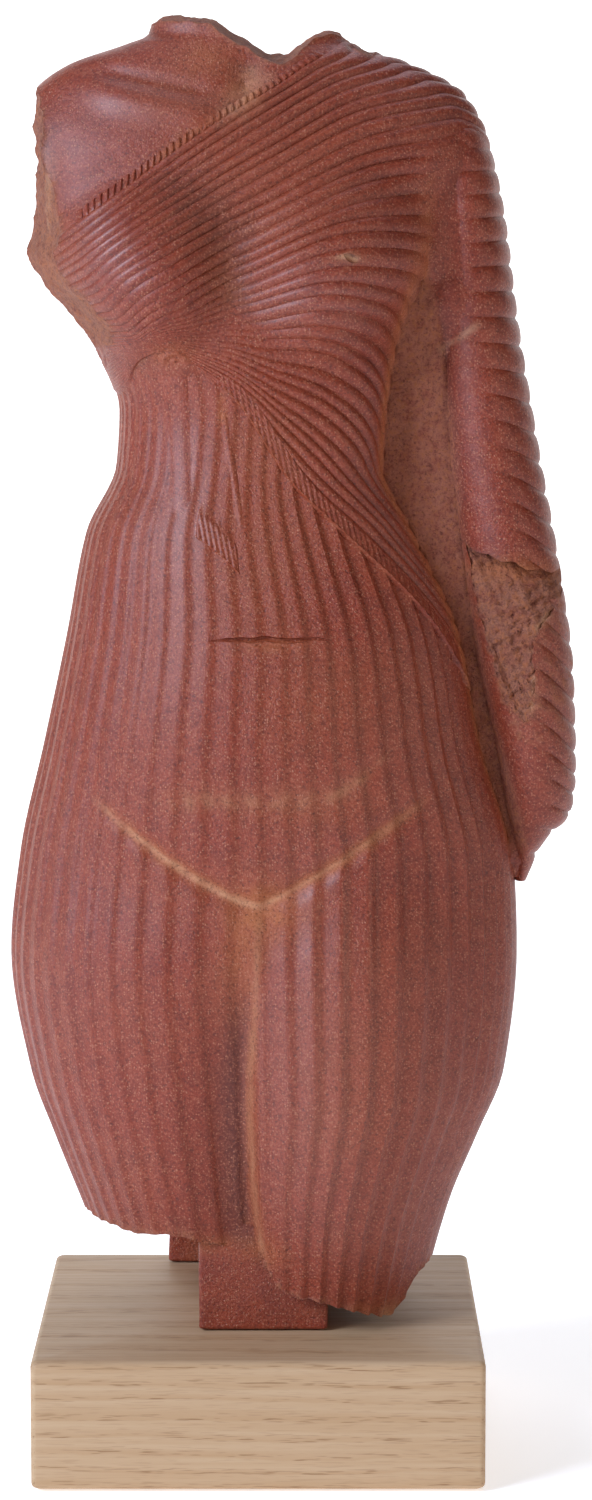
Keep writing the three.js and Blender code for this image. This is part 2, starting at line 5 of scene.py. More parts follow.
import bpy
import numpy as np
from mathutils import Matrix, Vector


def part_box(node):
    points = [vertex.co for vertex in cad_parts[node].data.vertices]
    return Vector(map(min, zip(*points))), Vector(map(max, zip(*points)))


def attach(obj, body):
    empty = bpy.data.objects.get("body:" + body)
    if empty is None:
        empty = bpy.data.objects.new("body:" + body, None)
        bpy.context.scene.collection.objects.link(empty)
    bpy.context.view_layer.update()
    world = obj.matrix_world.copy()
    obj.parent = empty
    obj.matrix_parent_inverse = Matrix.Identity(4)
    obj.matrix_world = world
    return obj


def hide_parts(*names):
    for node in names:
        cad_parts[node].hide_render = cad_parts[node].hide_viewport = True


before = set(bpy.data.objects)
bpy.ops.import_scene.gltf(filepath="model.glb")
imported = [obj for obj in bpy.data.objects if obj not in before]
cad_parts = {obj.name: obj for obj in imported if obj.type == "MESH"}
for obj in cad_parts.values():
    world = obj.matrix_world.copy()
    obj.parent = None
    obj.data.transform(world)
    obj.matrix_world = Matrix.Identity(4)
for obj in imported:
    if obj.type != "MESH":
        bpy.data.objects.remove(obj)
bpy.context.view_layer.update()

bl_info = {
    "name": "Draped torso statuette",
    "version": (1, 0, 0),
    "blender": (4, 5, 0),
    "location": "3D View > Sidebar > Statuette",
    "description": "Builds a draped torso statuette of cast stone on an oak block, with its studio",
    "category": "Add Mesh",
}

# All shapes are worked out in millimetres, with +Z up, +X to the viewer's right and -Y to the viewer.
MM = 0.001
# Edges that bend more than this are drawn sharp.
SHARP = math.radians(38)

# The cast's seat, just above the oak block
SEAT = 29.3

# Front post, and back pillar with its heel
POST = {"left": -13.6, "right": 15.4, "front": -24, "top": 54}
PILLAR = {"half_foot": 22.3, "half_top": 17, "heel_front": 40, "front": 8, "back": 46,
          "start": 50, "top": 300, "fall": 7}
# How far their faces wave, and over what length
UNEVEN = {"height": 0.12, "length": 16}

# Level sections of the body: run (the way up along the outline), height, left, right, front, back and the y
# of the widest line
SECTIONS = np.array([
    (26, 26, -30, 36, -25, 25, 2),
    (55, 55, -41.5, 44.1, -30, 30, 3),
    (70, 70, -47.5, 50.4, -31.7, 32.7, 3.5),
    (85, 85, -52.9, 56.4, -33, 35, 4),
    (112, 112, -57.1, 59.1, -34, 39.5, 4),
    (135, 135, -54.8, 58.1, -32, 41, 4),
    (160, 160, -49.2, 51.2, -32, 38, 4),
    (185, 185, -43.8, 45.9, -30, 33, 4),
    (208, 208, -39.3, 35.4, -24.5, 29, 5),
    (223, 223, -32.5, 28, -20, 27, 6),
    (235, 235, -31.8, 28.8, -18, 26.5, 7),
    (250, 250, -37.6, 31.5, -18, 28, 8),
    (265, 265, -52, 38, -18, 30, 8),
    (274, 274, -56, 43, -17.5, 31, 8),
    (283, 283, -57.2, 48.5, -16.5, 31, 8),
    (292, 292, -57, 52, -15, 30, 8),
    (310, 305.5, -52, 46.6, -9.5, 26.5, 9),
    (325, 312.5, -43.5, 34.5, -6, 23.5, 9),
    (340, 317.3, -30, 21, -4, 21, 9),
    (350, 319.5, -25, 19.3, -3.5, 20, 9),
    (362, 330, -23, 18.5, -3, 19, 9),
])
SQUARENESS = 2.25
CHEST_EDGE = {"squareness": 1.6, "low": 205, "from": 235, "to": 262, "high": 286}
MIDDLE_Y = 4

# Round bumps: x, z, half width, half height, rise
BREASTS = [(-27, 266, 21.5, 23, 8.3), (18, 268, 24, 24, 7)]
BELLY = (0, 158, 44, 40, 2.5)
THIGHS = [(-28, 84, 30, 60, 1.5), (23, 78, 27, 74, 6.5)]
BUTTOCKS = [(-24, 138, 30, 36, 4), (24, 138, 30, 36, 4)]

# The groin's two lines, the crease between the thighs, and the soft fold across the belly
GROIN = {"x": 0.5, "z": 127, "half_span": 38, "climb": 23.5, "bend": 1.4, "bend_right": 1.1,
         "depth": 1.3, "width": 2.6, "fullness": 1.5}
CREASE = {"top": 126, "foot": 46, "depth_top": 1.8, "depth_foot": 5.8, "left": 11, "right": 3}
CREASE_LINE = [(46, -1.4), (51, -2.1), (64, -3.6), (83, -4.3), (105, -3.1), (126, -2.1)]
FOLD = {"left": -26, "left_end": 12, "right": 32, "right_end": 10, "z": 150.5, "flat_to": 9, "climb": 0.026,
        "depth": 0.55, "width": 2.2}

# How much of the shawl's width its lower pleats take, by direction: they run together in the knot
LOWER_PLEATS = 0.6
LOWER_SHARE = [(-180, 0.6), (-100, 0.45), (-60, 0.38), (-38, 0.13), (-20, 0.26), (5, 0.45), (35, 0.57),
               (70, 0.6), (120, 0.6)]
# The shawl's lower edge and its neckline: direction in degrees from the front, + to the right, and run
SHAWL_EDGE = [(-180, 232), (-120, 241), (-75, 239), (-58, 241), (-44, 246.5), (-33, 248.5), (-12, 241),
              (12, 224), (45, 199), (75, 172), (100, 160), (140, 186)]
NECKLINE = [(-180, 311), (-140, 292), (-105, 271), (-75, 268), (-60, 270), (-45, 275.2), (-35, 280.3),
            (-25, 286.8), (-15, 294.8), (-5, 303), (5, 311), (15, 319.3), (25, 326.3), (35, 331), (50, 336.5),
            (65, 341), (110, 341), (150, 328)]
# How far skirt and skin run on under the shawl, and how deep they are sunk below the surface there
UNDER_SHAWL = 6
SUNK = 2.5

# The knot under the breast, the sash's end that hangs from it, and the round fold beside that
KNOT = {"x": -18.4, "z": 246.6, "half_width": 7, "half_height": 4.6, "sunk": 0.9, "rise": 1.7, "folds": 0.2}
SASH = {"x": -18.4, "z": 247, "length": 42, "half_width": 3.2, "rise": 0.18}
SASH_FOLD = {"x": -8.2, "z": 239, "length": 40, "half_width": 1.3, "rise": 0.25, "round": 0.7}
SASH_FRINGE = {"x": -14.5, "z": 208.6, "width": 11, "fall": 9, "hang": 7.6, "proud": 0.06}
SHAWL_FRINGE = {"hang": 7.4, "less_left": 4, "proud": 0.44}
NECK_BAND = {"from": -45, "to": 44, "half_width": 1.8, "above": 0.9}

# The bare collarbone on the viewer's left: a ridge with a hollow above it
COLLARBONE = {"outer": -42, "inner": -8, "z": 304.2, "climb": 0.22, "ridge": 1.4, "hollow": 1.3}

# Rings of the arm: height, inner, outer, front, back
ARM = np.array([
    (128, 58.5, 61, 0, 6),
    (137, 57, 64.8, -6, 9),
    (146, 54.5, 71.3, -10, 12),
    (156, 53, 72.2, -12, 13),
    (178, 48.1, 71.5, -13, 14),
    (200, 45.3, 68.5, -12, 16),
    (228, 41, 63.4, -9, 19),
    (255, 39, 58.8, -7, 21),
    (280, 38, 55.4, -6, 22),
    (297, 36, 51.2, -4, 21),
    (304, 34, 45, 0, 18),
], float)
# The rings' tilt at the arm's foot and at its top, and how fast they curl down round its outer side
ARM_TILT = (-0.35, 0.2)
ARM_CURL = 0.042

# The stone left between the body and the arm: its front by height, and how far out it is to be seen by
# height. Under the shoulder it bridges the way from the chest to the sleeve.
WEB = {"back": 20, "foot": 129, "top": 299, "open_below": 263, "closed_above": 272, "bridge_x": 33.5,
       "join": 0.75, "roughness": 0.9}
WEB_FRONT = [(131, -3), (150, -4.5), (175, -5), (200, -4), (225, -2.5), (245, -3.5), (255, -5.5),
             (262, -7.5), (270, -9)]
WEB_EDGE = [(131, 62.5), (139, 60.8), (172, 52.4), (204, 46.7), (224, 45), (251, 41.5), (268, 38)]

# The neck's break: its height above its lowest place by x, and how much it falls to the front
NECK_LOW = 310.6
NECK_LINE = [(-40, 8), (-26, 9), (-21, 11.2), (-14, 10.8), (-10.5, 10.3), (-6.5, 7.2), (-3.5, 5.9), (0, 3.6),
             (2.5, 2.1), (5, 1.9), (9.5, 4.9), (13, 7.3), (16.5, 8.1), (20, 6.2), (26, 2.9), (40, 8)]
NECK_FALL = 0.12
# The shoulder's break: its x by height, and how much it turns to the back
SHOULDER = {"pivot": 16, "turn": 0.13, "more_turn": 0.14, "foot": 236, "roughness": 1.8}
SHOULDER_LINE = [(236, -39.5), (244, -36.9), (250, -38.9), (258, -44.6), (264.5, -50.2), (270, -52.8),
                 (276, -50.8), (281, -50.6), (288, -50.4), (300, -51), (330, -51)]
# The legs' break: its height by x, and how much it rises to the back from the y of the front leg
LEG_BREAK = [(-60, 49), (-44, 49.4), (-37, 50.4), (-20, 50.6), (-6, 47.8), (0.5, 46.8), (1.2, 45.3),
             (2.1, 43), (3.2, 41), (4.8, 39.2), (6.8, 37.9), (10, 37), (16, 36), (20, 34.2), (25, 32),
             (29, 30.6), (33, 33), (36, 37.5), (60, 44)]
LEG_BACK_RISE = 0.1
LEG_FRONT = -33
# The forearm's broken patch: sides, foot and top, how deep it is sunk, and the lip over it
FOREARM = {"left": 46.5, "left_foot": 55.5, "right": 69, "waist": 61.6, "waist_at": 184, "foot": 166,
           "top": 201.5, "sink": 2.2, "lip": 2.8, "lip_rise": 4, "lip_fall": 2.4}


def smooth(value, low, high):
    """Nought below low, one above high, and 3t2 - 2t3 between them."""
    t = np.clip((value - low) / (high - low), 0.0, 1.0)
    return t * t * (3 - 2 * t)


def fade(value, low, high):
    """One below low, nought above high, and the same curve turned round between them."""
    return smooth(-value, -high, -low)


def bell(value, width):
    """A bell curve, one in its middle and a third of that one width away."""
    return np.exp(-np.square(value / width))


def curve_through(points):
    """A cubic curve through (place, value) points. Each slope is the harmonic mean of the chords beside it,
    and nought where they turn back, so that the curve never overshoots."""
    places, values = np.array(points, float).T
    chords = np.diff(values) / np.diff(places)
    before, after = chords[:-1], chords[1:]
    same = before * after > 0
    middle = np.where(same, 2 * before * after / np.where(same, before + after, 1), 0)
    slopes = np.concatenate([chords[:1], middle, chords[-1:]])

    def curve(place):
        at = np.clip(place, places[0], places[-1])
        i = np.clip(np.searchsorted(places, at, side="right") - 1, 0, len(places) - 2)
        span = places[i + 1] - places[i]
        t = (at - places[i]) / span
        flat = t * t * (3 - 2 * t)
        bent = t * (1 - t) * (1 - t) * slopes[i] - t * t * (1 - t) * slopes[i + 1]
        return values[i] * (1 - flat) + values[i + 1] * flat + span * bent

    return curve


def curve_round(points):
    """The same for a curve that closes round the body: the points are in degrees, the angle in radians."""
    curve = curve_through([(at + turn, value) for turn in (-360, 0, 360) for at, value in points])
    return lambda angle: curve((np.degrees(angle) + 180) % 360 - 180)


def curves_of(table, names):
    """A curve through each further column of a table, by its first one."""
    return {name: curve_through(table[:, [0, i]]) for i, name in enumerate(names, 1)}


section = curves_of(SECTIONS, ("height", "left", "right", "front", "back", "widest"))
ring = curves_of(ARM, ("inner", "outer", "front", "back"))
edge_run = curve_round(SHAWL_EDGE)
neck_run = curve_round(NECKLINE)
lower_share = curve_round(LOWER_SHARE)
crease_line = curve_through(CREASE_LINE)
shoulder_line = curve_through(SHOULDER_LINE)
leg_break = curve_through(LEG_BREAK)
neck_line = curve_through(NECK_LINE)
web_front = curve_through(WEB_FRONT)
web_edge = curve_through(WEB_EDGE)


def dome(x, z, bump):
    """A round bump, flat at its rim: (1 - r2)2 (1 + r2) of its rise, with r the share of its radius."""
    middle_x, middle_z, half_width, half_height, rise = bump
    far = np.minimum(((x - middle_x) / half_width) ** 2 + ((z - middle_z) / half_height) ** 2, 1)
    return rise * (1 - far) ** 2 * (1 + far)


def groin_height(x):
    """The height of the groin's lines: from their meeting point up to each side by a power of the reach."""
    reach = np.minimum(np.abs(x - GROIN["x"]) / GROIN["half_span"], 1)
    bend = np.where(x < GROIN["x"], GROIN["bend"], GROIN["bend_right"])
    return GROIN["z"] + GROIN["climb"] * reach ** bend, reach


def fold_height(x):
    """The height of the belly's fold: level, then rising by the square of the way to the right."""
    return FOLD["z"] + FOLD["climb"] * np.maximum(x - FOLD["flat_to"], 0) ** 2


def fold_share(x):
    """How strong the belly's fold is along its way: full in the middle and gone at its ends."""
    left_part = smooth(x, FOLD["left"], FOLD["left"] + FOLD["left_end"])
    return left_part * fade(x, FOLD["right"] - FOLD["right_end"], FOLD["right"])


def front_relief(x, z):
    """How far the front stands forward: the bumps, less a bell-shaped groove along each groin line,
    the crease between the thighs and the belly's fold."""
    forward = sum(dome(x, z, bump) for bump in (BELLY, *BREASTS, *THIGHS))
    groin, reach = groin_height(x)
    forward = forward - GROIN["depth"] * bell(z - groin, GROIN["width"]) * (1 - reach ** 4)
    down = smooth(CREASE["top"] - z, 0, CREASE["top"] - CREASE["foot"])
    side = x - crease_line(z)
    near = bell(side, np.where(side < 0, CREASE["left"], CREASE["right"]))
    depth = CREASE["depth_top"] + (CREASE["depth_foot"] - CREASE["depth_top"]) * down
    forward = forward - depth * np.minimum(down * 6, 1) * near
    return forward - FOLD["depth"] * bell(z - fold_height(x), FOLD["width"]) * fold_share(x)


def chest_edge(run):
    """How squared off the chest's side is towards the arm by run: only from the ribs to the shoulder."""
    above_waist = smooth(run, CHEST_EDGE["low"], CHEST_EDGE["from"])
    return above_waist * fade(run, CHEST_EDGE["to"], CHEST_EDGE["high"])


def body_point(angle, run):
    """The bare body: at each run a level outline whose front and back halves are superellipses that meet
    on the widest line, pushed out in front by the relief and behind by the buttocks."""
    left, right = section["left"](run), section["right"](run)
    sideways, forwards = np.sin(angle), np.cos(angle)
    to_arm = np.clip(sideways, 0, 1) * smooth(forwards, -0.2, 0.2)
    power = SQUARENESS + CHEST_EDGE["squareness"] * chest_edge(run) * to_arm
    size = (np.abs(sideways) ** power + np.abs(forwards) ** power) ** (-1 / power)
    x = (right + left) / 2 + (right - left) / 2 * sideways * size
    z = section["height"](run) + 0 * angle
    widest = section["widest"](run)
    depth = np.where(forwards > 0, widest - section["front"](run), section["back"](run) - widest)
    y = widest - depth * forwards * size
    facing = smooth(np.abs(forwards), 0.05, 0.75)
    behind = sum(dome(x, z, bump) for bump in BUTTOCKS)
    y = y + facing * np.where(forwards > 0, -front_relief(x, z), behind)
    return np.stack([x, y, z], axis=-1)


def lifted(surface, angle, along, lift):
    """A point that stands proud of a surface by lift, along the normal found from its four neighbours."""
    step = 0.01
    across = surface(angle + step, along) - surface(angle - step, along)
    up = surface(angle, along + step) - surface(angle, along - step)
    normal = np.cross(across, up)
    normal = normal / np.maximum(np.linalg.norm(normal, axis=-1, keepdims=True), 1e-9)
    return surface(angle, along) + normal * np.asarray(lift)[..., None]


def angle_at(x, run):
    """The direction on the front at which the body's outline has this x, found by halving 40 times."""
    low = np.full(np.broadcast(x, run).shape, -math.pi / 2)
    high = -low
    for _ in range(40):
        middle = (low + high) / 2
        beyond = body_point(middle, run)[..., 0] > x
        high = np.where(beyond, middle, high)
        low = np.where(beyond, low, middle)
    return (low + high) / 2


def run_at(height):
    """The run at which the body's outline has this height."""
    runs = np.linspace(SECTIONS[0, 0], SECTIONS[-1, 0], 1400)
    return np.interp(height, section["height"](runs), runs)


def ripple(u, v, size, seed=0.0):
    """Four crossed sine waves of unlike length and direction added up, between about -1 and 1."""
    u, v = u / size, v / size
    waves = np.sin(6.1 * u + 2.3 * v + seed)
    waves = waves + 0.8 * np.sin(5.9 * v - 3.7 * u + 1.7 * seed + 1)
    waves = waves + 0.5 * np.sin(9.7 * u - 8.1 * v + 2.9 * seed)
    waves = waves + 0.4 * np.sin(13.3 * u + 12.1 * v + 0.7 * seed)
    return waves / 2.2


def crag(u, v, size):
    """A broken surface: three crossed zigzag waves, the finer ones weaker."""
    def zigzag(t):
        return 4 * np.abs(t - np.floor(t) - 0.5) - 1

    coarse = 0.5 * zigzag((u + 0.4 * v) / size) + 0.35 * zigzag((0.7 * v - 0.3 * u) / (0.6 * size) + 0.3)
    return coarse + 0.25 * zigzag((u - 0.9 * v) / (0.4 * size) + 0.7)


def rough(u, v):
    """The grain of a break: two finer crags and a ripple, under half a millimetre high."""
    return 0.22 * crag(u, v, 4.1) + 0.12 * crag(v, u, 1.9) + 0.15 * ripple(u, v, 8)


def mesh_object(name, points, faces):
    """An object from points in millimetres and a list of face arrays, which are turned outwards where the
    volume inside them comes out negative."""
    spokes = np.concatenate([points[f[:, [0, i, i + 1]]] for f in faces for i in range(1, f.shape[1] - 1)])
    volume = np.einsum("ij,ij->i", spokes[:, 0], np.cross(spokes[:, 1], spokes[:, 2])).sum()
    if volume < 0:
        faces = [f[:, ::-1] for f in faces]
    mesh = bpy.data.meshes.new(name)
    loops = np.concatenate([f.ravel() for f in faces]).astype(np.int32)
    totals = np.concatenate([np.full(len(f), f.shape[1]) for f in faces]).astype(np.int32)
    starts = np.concatenate([[0], np.cumsum(totals)[:-1]]).astype(np.int32)
    mesh.vertices.add(len(points))
    mesh.vertices.foreach_set("co", (points * MM).astype(np.float32).ravel())
    mesh.loops.add(len(loops))
    mesh.loops.foreach_set("vertex_index", loops)
    mesh.polygons.add(len(totals))
    mesh.polygons.foreach_set("loop_start", starts)
    mesh.update(calc_edges=True)
    made = bpy.data.objects.new(name, mesh)
    bpy.context.scene.collection.objects.link(made)
    return made


def tube(name, grid, low=None, high=None):
    """A closed solid from a grid of (row, column) points that closes round its columns.
    Each end is a fan to a middle point, by default the mean of its row."""
    rows, columns = grid.shape[:2]
    low = grid[0].mean(axis=0) if low is None else np.array(low, float)
    high = grid[-1].mean(axis=0) if high is None else np.array(high, float)
    points = np.concatenate([grid.reshape(-1, 3), [low, high]])
    i, j = np.meshgrid(np.arange(rows - 1), np.arange(columns), indexing="ij")
    a, b = i * columns + j, i * columns + (j + 1) % columns
    wall = np.stack([a, b, b + columns, a + columns], axis=-1).reshape(-1, 4)
    j = np.arange(columns)
    foot = np.stack([np.full(columns, rows * columns), (j + 1) % columns, j], axis=-1)
    last = (rows - 1) * columns
    head = np.stack([np.full(columns, rows * columns + 1), last + j, last + (j + 1) % columns], axis=-1)
    return mesh_object(name, points, [wall, foot, head])


def slab(name, front, back):
    """A closed slab between two grids of the same shape."""
    return tube(name, np.concatenate([front, back[:, ::-1]], axis=1))


def block(section_at, heights, radius, per_side):
    """Rows of points round a block of level rectangles: section_at(z) gives left, right, front and back. Its
    upright edges are quarter circles, and so are its top and bottom edges, where the rows draw in. Each side
    takes the first part of its columns, and the edge after it the rest."""
    side_part = 0.8
    quarter = np.linspace(0, math.pi / 2, 5)
    rise, draw = radius * (1 - np.cos(quarter)), radius * (1 - np.sin(quarter))
    z = np.concatenate([heights[0] + rise, heights[1:-1], heights[-1] - rise[::-1]])
    inset = np.concatenate([draw, np.zeros(len(heights) - 2), draw[::-1]]) + radius
    left, right, front, back = (np.broadcast_to(np.asarray(value, float), z.shape) for value in section_at(z))
    centre_x = np.stack([right - inset, right - inset, left + inset, left + inset], axis=-1)
    centre_y = np.stack([front + inset, back - inset, back - inset, front + inset], axis=-1)
    side = np.repeat(np.arange(4), per_side)
    share = np.tile(np.linspace(0, 1, per_side, endpoint=False), 4)
    along = np.minimum(share / side_part, 1)
    arc = np.maximum(share - side_part, 0) / (1 - side_part) * (math.pi / 2)
    outwards = np.array([(0, -1), (1, 0), (0, 1), (-1, 0)], float)
    push = outwards[side] * np.cos(arc)[:, None] + outwards[(side + 1) % 4] * np.sin(arc)[:, None]
    start = (side - 1) % 4
    x = centre_x[:, start] * (1 - along) + centre_x[:, side] * along + radius * push[:, 0]
    y = centre_y[:, start] * (1 - along) + centre_y[:, side] * along + radius * push[:, 1]
    return np.stack([x, y, np.broadcast_to(z[:, None], x.shape)], axis=-1)


def cut_and_join(name, solids, cuts, adds):
    """One mesh: the solids joined, less the cuts, and joined with what is added last."""
    base, *more = solids
    others = [("UNION", solid) for solid in more]
    others += [("DIFFERENCE", cut) for cut in cuts]
    others += [("UNION", added) for added in adds]
    for operation, other in others:
        step = base.modifiers.new(operation.lower(), "BOOLEAN")
        step.operation, step.object, step.solver = operation, other, "MANIFOLD"
    graph = bpy.context.evaluated_depsgraph_get()
    mesh = bpy.data.meshes.new_from_object(base.evaluated_get(graph))
    mesh.name = name
    for done in [base] + [other for _, other in others]:
        old = done.data
        bpy.data.objects.remove(done)
        bpy.data.meshes.remove(old)
    return mesh


def pleat_columns():
    """The columns of the skirt, as places in pleats: eight for each pleat in front, close together where it
    drops to the next one, and five for each behind."""
    pleats = bpy.context.scene.statuette_sizes.skirt_pleats
    fine = [0.0, 0.12, 0.26, 0.42, 0.56, 0.68, 0.8, 0.9]
    plain = [0.0, 0.25, 0.6, 0.82, 0.93]
    behind = 0.21
    turns_from_back = [abs((k + 0.5) / pleats - 0.5) for k in range(pleats)]
    places = [k + p for k, turn in enumerate(turns_from_back) for p in (fine if turn > behind else plain)]
    return np.array(places), pleats


def skirt_mesh():
    """The skirt: level rows that follow the groin and crowd together near it, and columns that follow the
    pleats. In each pleat the stone rises slowly to the right and then drops to the next one. The relief is
    softer over the belly and at the waist's left, and stronger at the right."""
    sizes = bpy.context.scene.statuette_sizes
    places, pleats = pleat_columns()
    angle = (places / pleats * 2 * math.pi)[None, :]
    foot, top = SECTIONS[0, 0], edge_run(angle) + UNDER_SHAWL
    reach = np.where(np.cos(angle) > 0, np.abs(np.sin(angle)), 1)
    bend = np.where(np.sin(angle) < 0, GROIN["bend"], GROIN["bend_right"])
    groin = GROIN["z"] + GROIN["climb"] * np.minimum(reach * GROIN["fullness"], 1) ** bend
    near = 6
    below = foot + (groin - near - foot) * np.linspace(0, 1, 44)[:-1, None]
    close = groin + np.linspace(-near, near, 17)[:, None]
    above = groin + near + (top - groin - near) * np.linspace(0, 1, 46)[1:, None]
    run = np.concatenate([below, close, above])
    angle = np.broadcast_to(angle, run.shape)
    sideways, forwards = np.sin(angle), np.cos(angle)
    drift = 0.16 * np.sin(3 * angle + 0.6) + 0.12 * np.sin(7 * angle + 2) + 0.1 * np.sin(run / 31 + 2 * angle)
    place = (places + 0.94)[None, :] % 1 + 0 * run
    profile = np.minimum(place / 0.6, 1) * (1 - smooth(place, 0.58, 0.97))
    belly, full_width = bell(run - 168, 30) * smooth(forwards, 0.3, 0.8), 95
    width = section["right"](run) - section["left"](run)
    depth = sizes.skirt_depth / MM * (1 - 0.35 * belly) * (0.9 + 0.2 * ripple(angle * 40, run, 90))
    depth = depth * np.minimum(1, width / full_width)
    depth = depth * (1 - 0.5 * bell(run - 222, 26) * smooth(-sideways, 0.1, 0.5))
    depth = depth * (1 + smooth(sideways, -0.1, 0.6)) * (1 - 0.5 * smooth(sideways, 0.85, 0.99))
    lift = -depth * (1 - profile) - SUNK * smooth(run, top - 3, top)
    turned = angle + drift / pleats * 2 * math.pi * 0.6
    grid = lifted(body_point, turned, run, lift)
    return tube("skirt", grid, (0, MIDDLE_Y, SECTIONS[0, 1]), (0, MIDDLE_Y, 212))


def crowded(columns):
    """Directions round the body that crowd together at the sides, where the body bends most."""
    turn = np.linspace(0, 2 * math.pi, columns, endpoint=False)
    return turn + 0.25 * np.sin(2 * turn)


def fan(share, angle):
    """Where a pleat runs, as a share of the shawl's width: two straight lines with a soft bend between them,
    so that the lower pleats take up only their share of the width in each direction."""
    softness = 0.04

    def bent(at):
        return softness * np.logaddexp(0, (at - LOWER_PLEATS) / softness)

    below = lower_share(angle) / LOWER_PLEATS
    above = (1 - lower_share(angle)) / (1 - LOWER_PLEATS)
    start, end = (above - below) * bent(0), below + (above - below) * bent(1)
    return (below * share + (above - below) * bent(share) - start) / (end - start)


def shawl_mesh():
    """The shawl: six rows for each pleat, fanned between its lower edge and the neckline. A pleat is a
    rounded rib with a narrow groove on each side. Its depth goes with its width, and it runs out beside the
    arm."""
    sizes = bpy.context.scene.statuette_sizes
    pleats, each = sizes.shawl_pleats, 6
    angle = crowded(136)[None, :]
    row = (np.arange(pleats * each + 1) / each)[:, None]
    low, high = edge_run(angle), neck_run(angle)
    sway = 0.09 * np.sin(1.7 * row + 3 * angle) * smooth(row, 0, 3) * smooth(pleats - row, 0, 3)
    run = low + (high - low) * fan((row + sway) / pleats, angle)
    width = np.gradient(run, axis=0) * each
    angle = np.broadcast_to(angle, run.shape)
    place = (row % 1) + 0 * run
    rib = np.maximum(np.sin(math.pi * place), 0) ** 0.8
    depth = np.minimum(0.26 * width, sizes.shawl_depth / MM) * (0.85 + 0.3 * ripple(angle * 30, run, 60, 2))
    x = body_point(angle, run)[..., 0]
    depth = depth * (1 + 0.25 * smooth(x, -5, 12))
    beside_arm = smooth(x, 35, 39) * fade(x, 46, 50) * smooth(run, 258, 272) * fade(run, 290, 302)
    depth = depth * (1 - 0.9 * beside_arm)
    edge = 0.1 + 0.35 * smooth(row, 0, 1.5)
    grid = lifted(body_point, angle, run, edge - depth * (1 - rib))
    return tube("shawl", grid, (0, MIDDLE_Y, 200), (0, MIDDLE_Y, 290))


def skin_point(angle, run):
    """The bare shoulder and throat: the body with a collarbone ridge, the hollow above it, the notch at the
    breastbone and the crease before the broken arm."""
    point = body_point(angle, run)
    x, z = point[..., 0], point[..., 2]
    bone = COLLARBONE["z"] + COLLARBONE["climb"] * np.maximum(-12 - x, 0)
    outer, inner = COLLARBONE["outer"], COLLARBONE["inner"]
    along = smooth(x, outer, outer + 12) * fade(x, inner - 5, inner)
    lift = COLLARBONE["ridge"] * bell(z - bone + 3.2, 3.6) - COLLARBONE["hollow"] * bell(z - bone - 1.2, 1.9)
    notch = 2.2 * bell(x + 3, 3.2) * bell(z - 307.5, 6)
    armpit = 0.6 * bell(x + 46, 3) * smooth(z, 268, 284) * fade(z, 292, 302)
    point[..., 1] -= (lift * along - notch - armpit) * smooth(np.cos(angle), 0.05, 0.5)
    return point


def skin_mesh():
    """The bare part, sunk under the shawl below its neckline."""
    under_shawl = np.linspace(238, 262, 5)
    shown = np.linspace(264, 344, 62)
    past_break = np.linspace(347, 362, 6)
    run = np.concatenate([under_shawl, shown, past_break])[:, None]
    angle, run = np.broadcast_arrays(crowded(150)[None, :], run)
    covered = smooth(neck_run(angle) - run, 0, UNDER_SHAWL)
    grid = lifted(skin_point, angle, run, -SUNK * covered)
    return tube("skin", grid, (0, MIDDLE_Y, 238), (0, MIDDLE_Y, 330))


def arm_point(angle, height):
    """The arm: at each height a level ellipse, tilted along the run of the sleeve's pleats. The curl takes
    the pleats down round the outer side and leaves the outline as it is."""
    across = (ring["outer"](height) - ring["inner"](height)) / 2 * np.sin(angle)
    share = (height - ARM[0, 0]) / (ARM[-1, 0] - ARM[0, 0])
    ends = np.clip(np.minimum(5 * share, 5 * (1 - share)), 0, 1)
    tilt = ends * (ARM_TILT[0] + (ARM_TILT[1] - ARM_TILT[0]) * share)
    curl = -ends * ARM_CURL * np.maximum(across + 2, 0) ** 2 * fade(share, 0.35, 0.85)
    at = height + curl
    inner, outer, front, back = (ring[side](at) for side in ("inner", "outer", "front", "back"))
    x = (outer + inner) / 2 + (outer - inner) / 2 * np.sin(angle)
    y = (back + front) / 2 - (back - front) / 2 * np.cos(angle)
    return np.stack([x, y, at + tilt * across], axis=-1)


def arm_mesh():
    """The sleeve: seven rows for each ring pleat, rounded with a narrow groove below it. The pleats fade
    towards the body and the ends."""
    sizes = bpy.context.scene.statuette_sizes
    pleats, each = sizes.arm_pleats, 7
    angle = np.linspace(0, 2 * math.pi, 56, endpoint=False)[None, :]
    row = (np.arange(pleats * each + 1) / each)[:, None]
    foot, top = ARM[0, 0], ARM[-1, 0]
    share = row / pleats
    height = foot + (top - foot) * (share + 0.14 * share * (1 - share))
    angle, height = np.broadcast_arrays(angle, height)
    rib = np.maximum(np.sin(math.pi * (row % 1)), 0) ** 0.5
    ends = smooth(row, 0.2, 1.2) * smooth(pleats - row, 0.2, 1.2)
    inner_end = -0.35 + 0.4 * fade(height, 205, 245)
    outer = 0.12 + 0.88 * smooth(np.sin(angle), inner_end, inner_end + 0.45)
    depth = sizes.arm_depth / MM * (0.85 + 0.3 * ripple(angle * 10, height, 40, 4)) * outer
    grid = lifted(arm_point, angle, height, -depth * (1 - rib) * ends)
    foot_point = arm_point(0, foot) * (1, 0, 1) + (0, 3, 0)
    return tube("arm", grid, foot_point, arm_point(0, top) * (1, 0, 1) + (0, 4, 0))


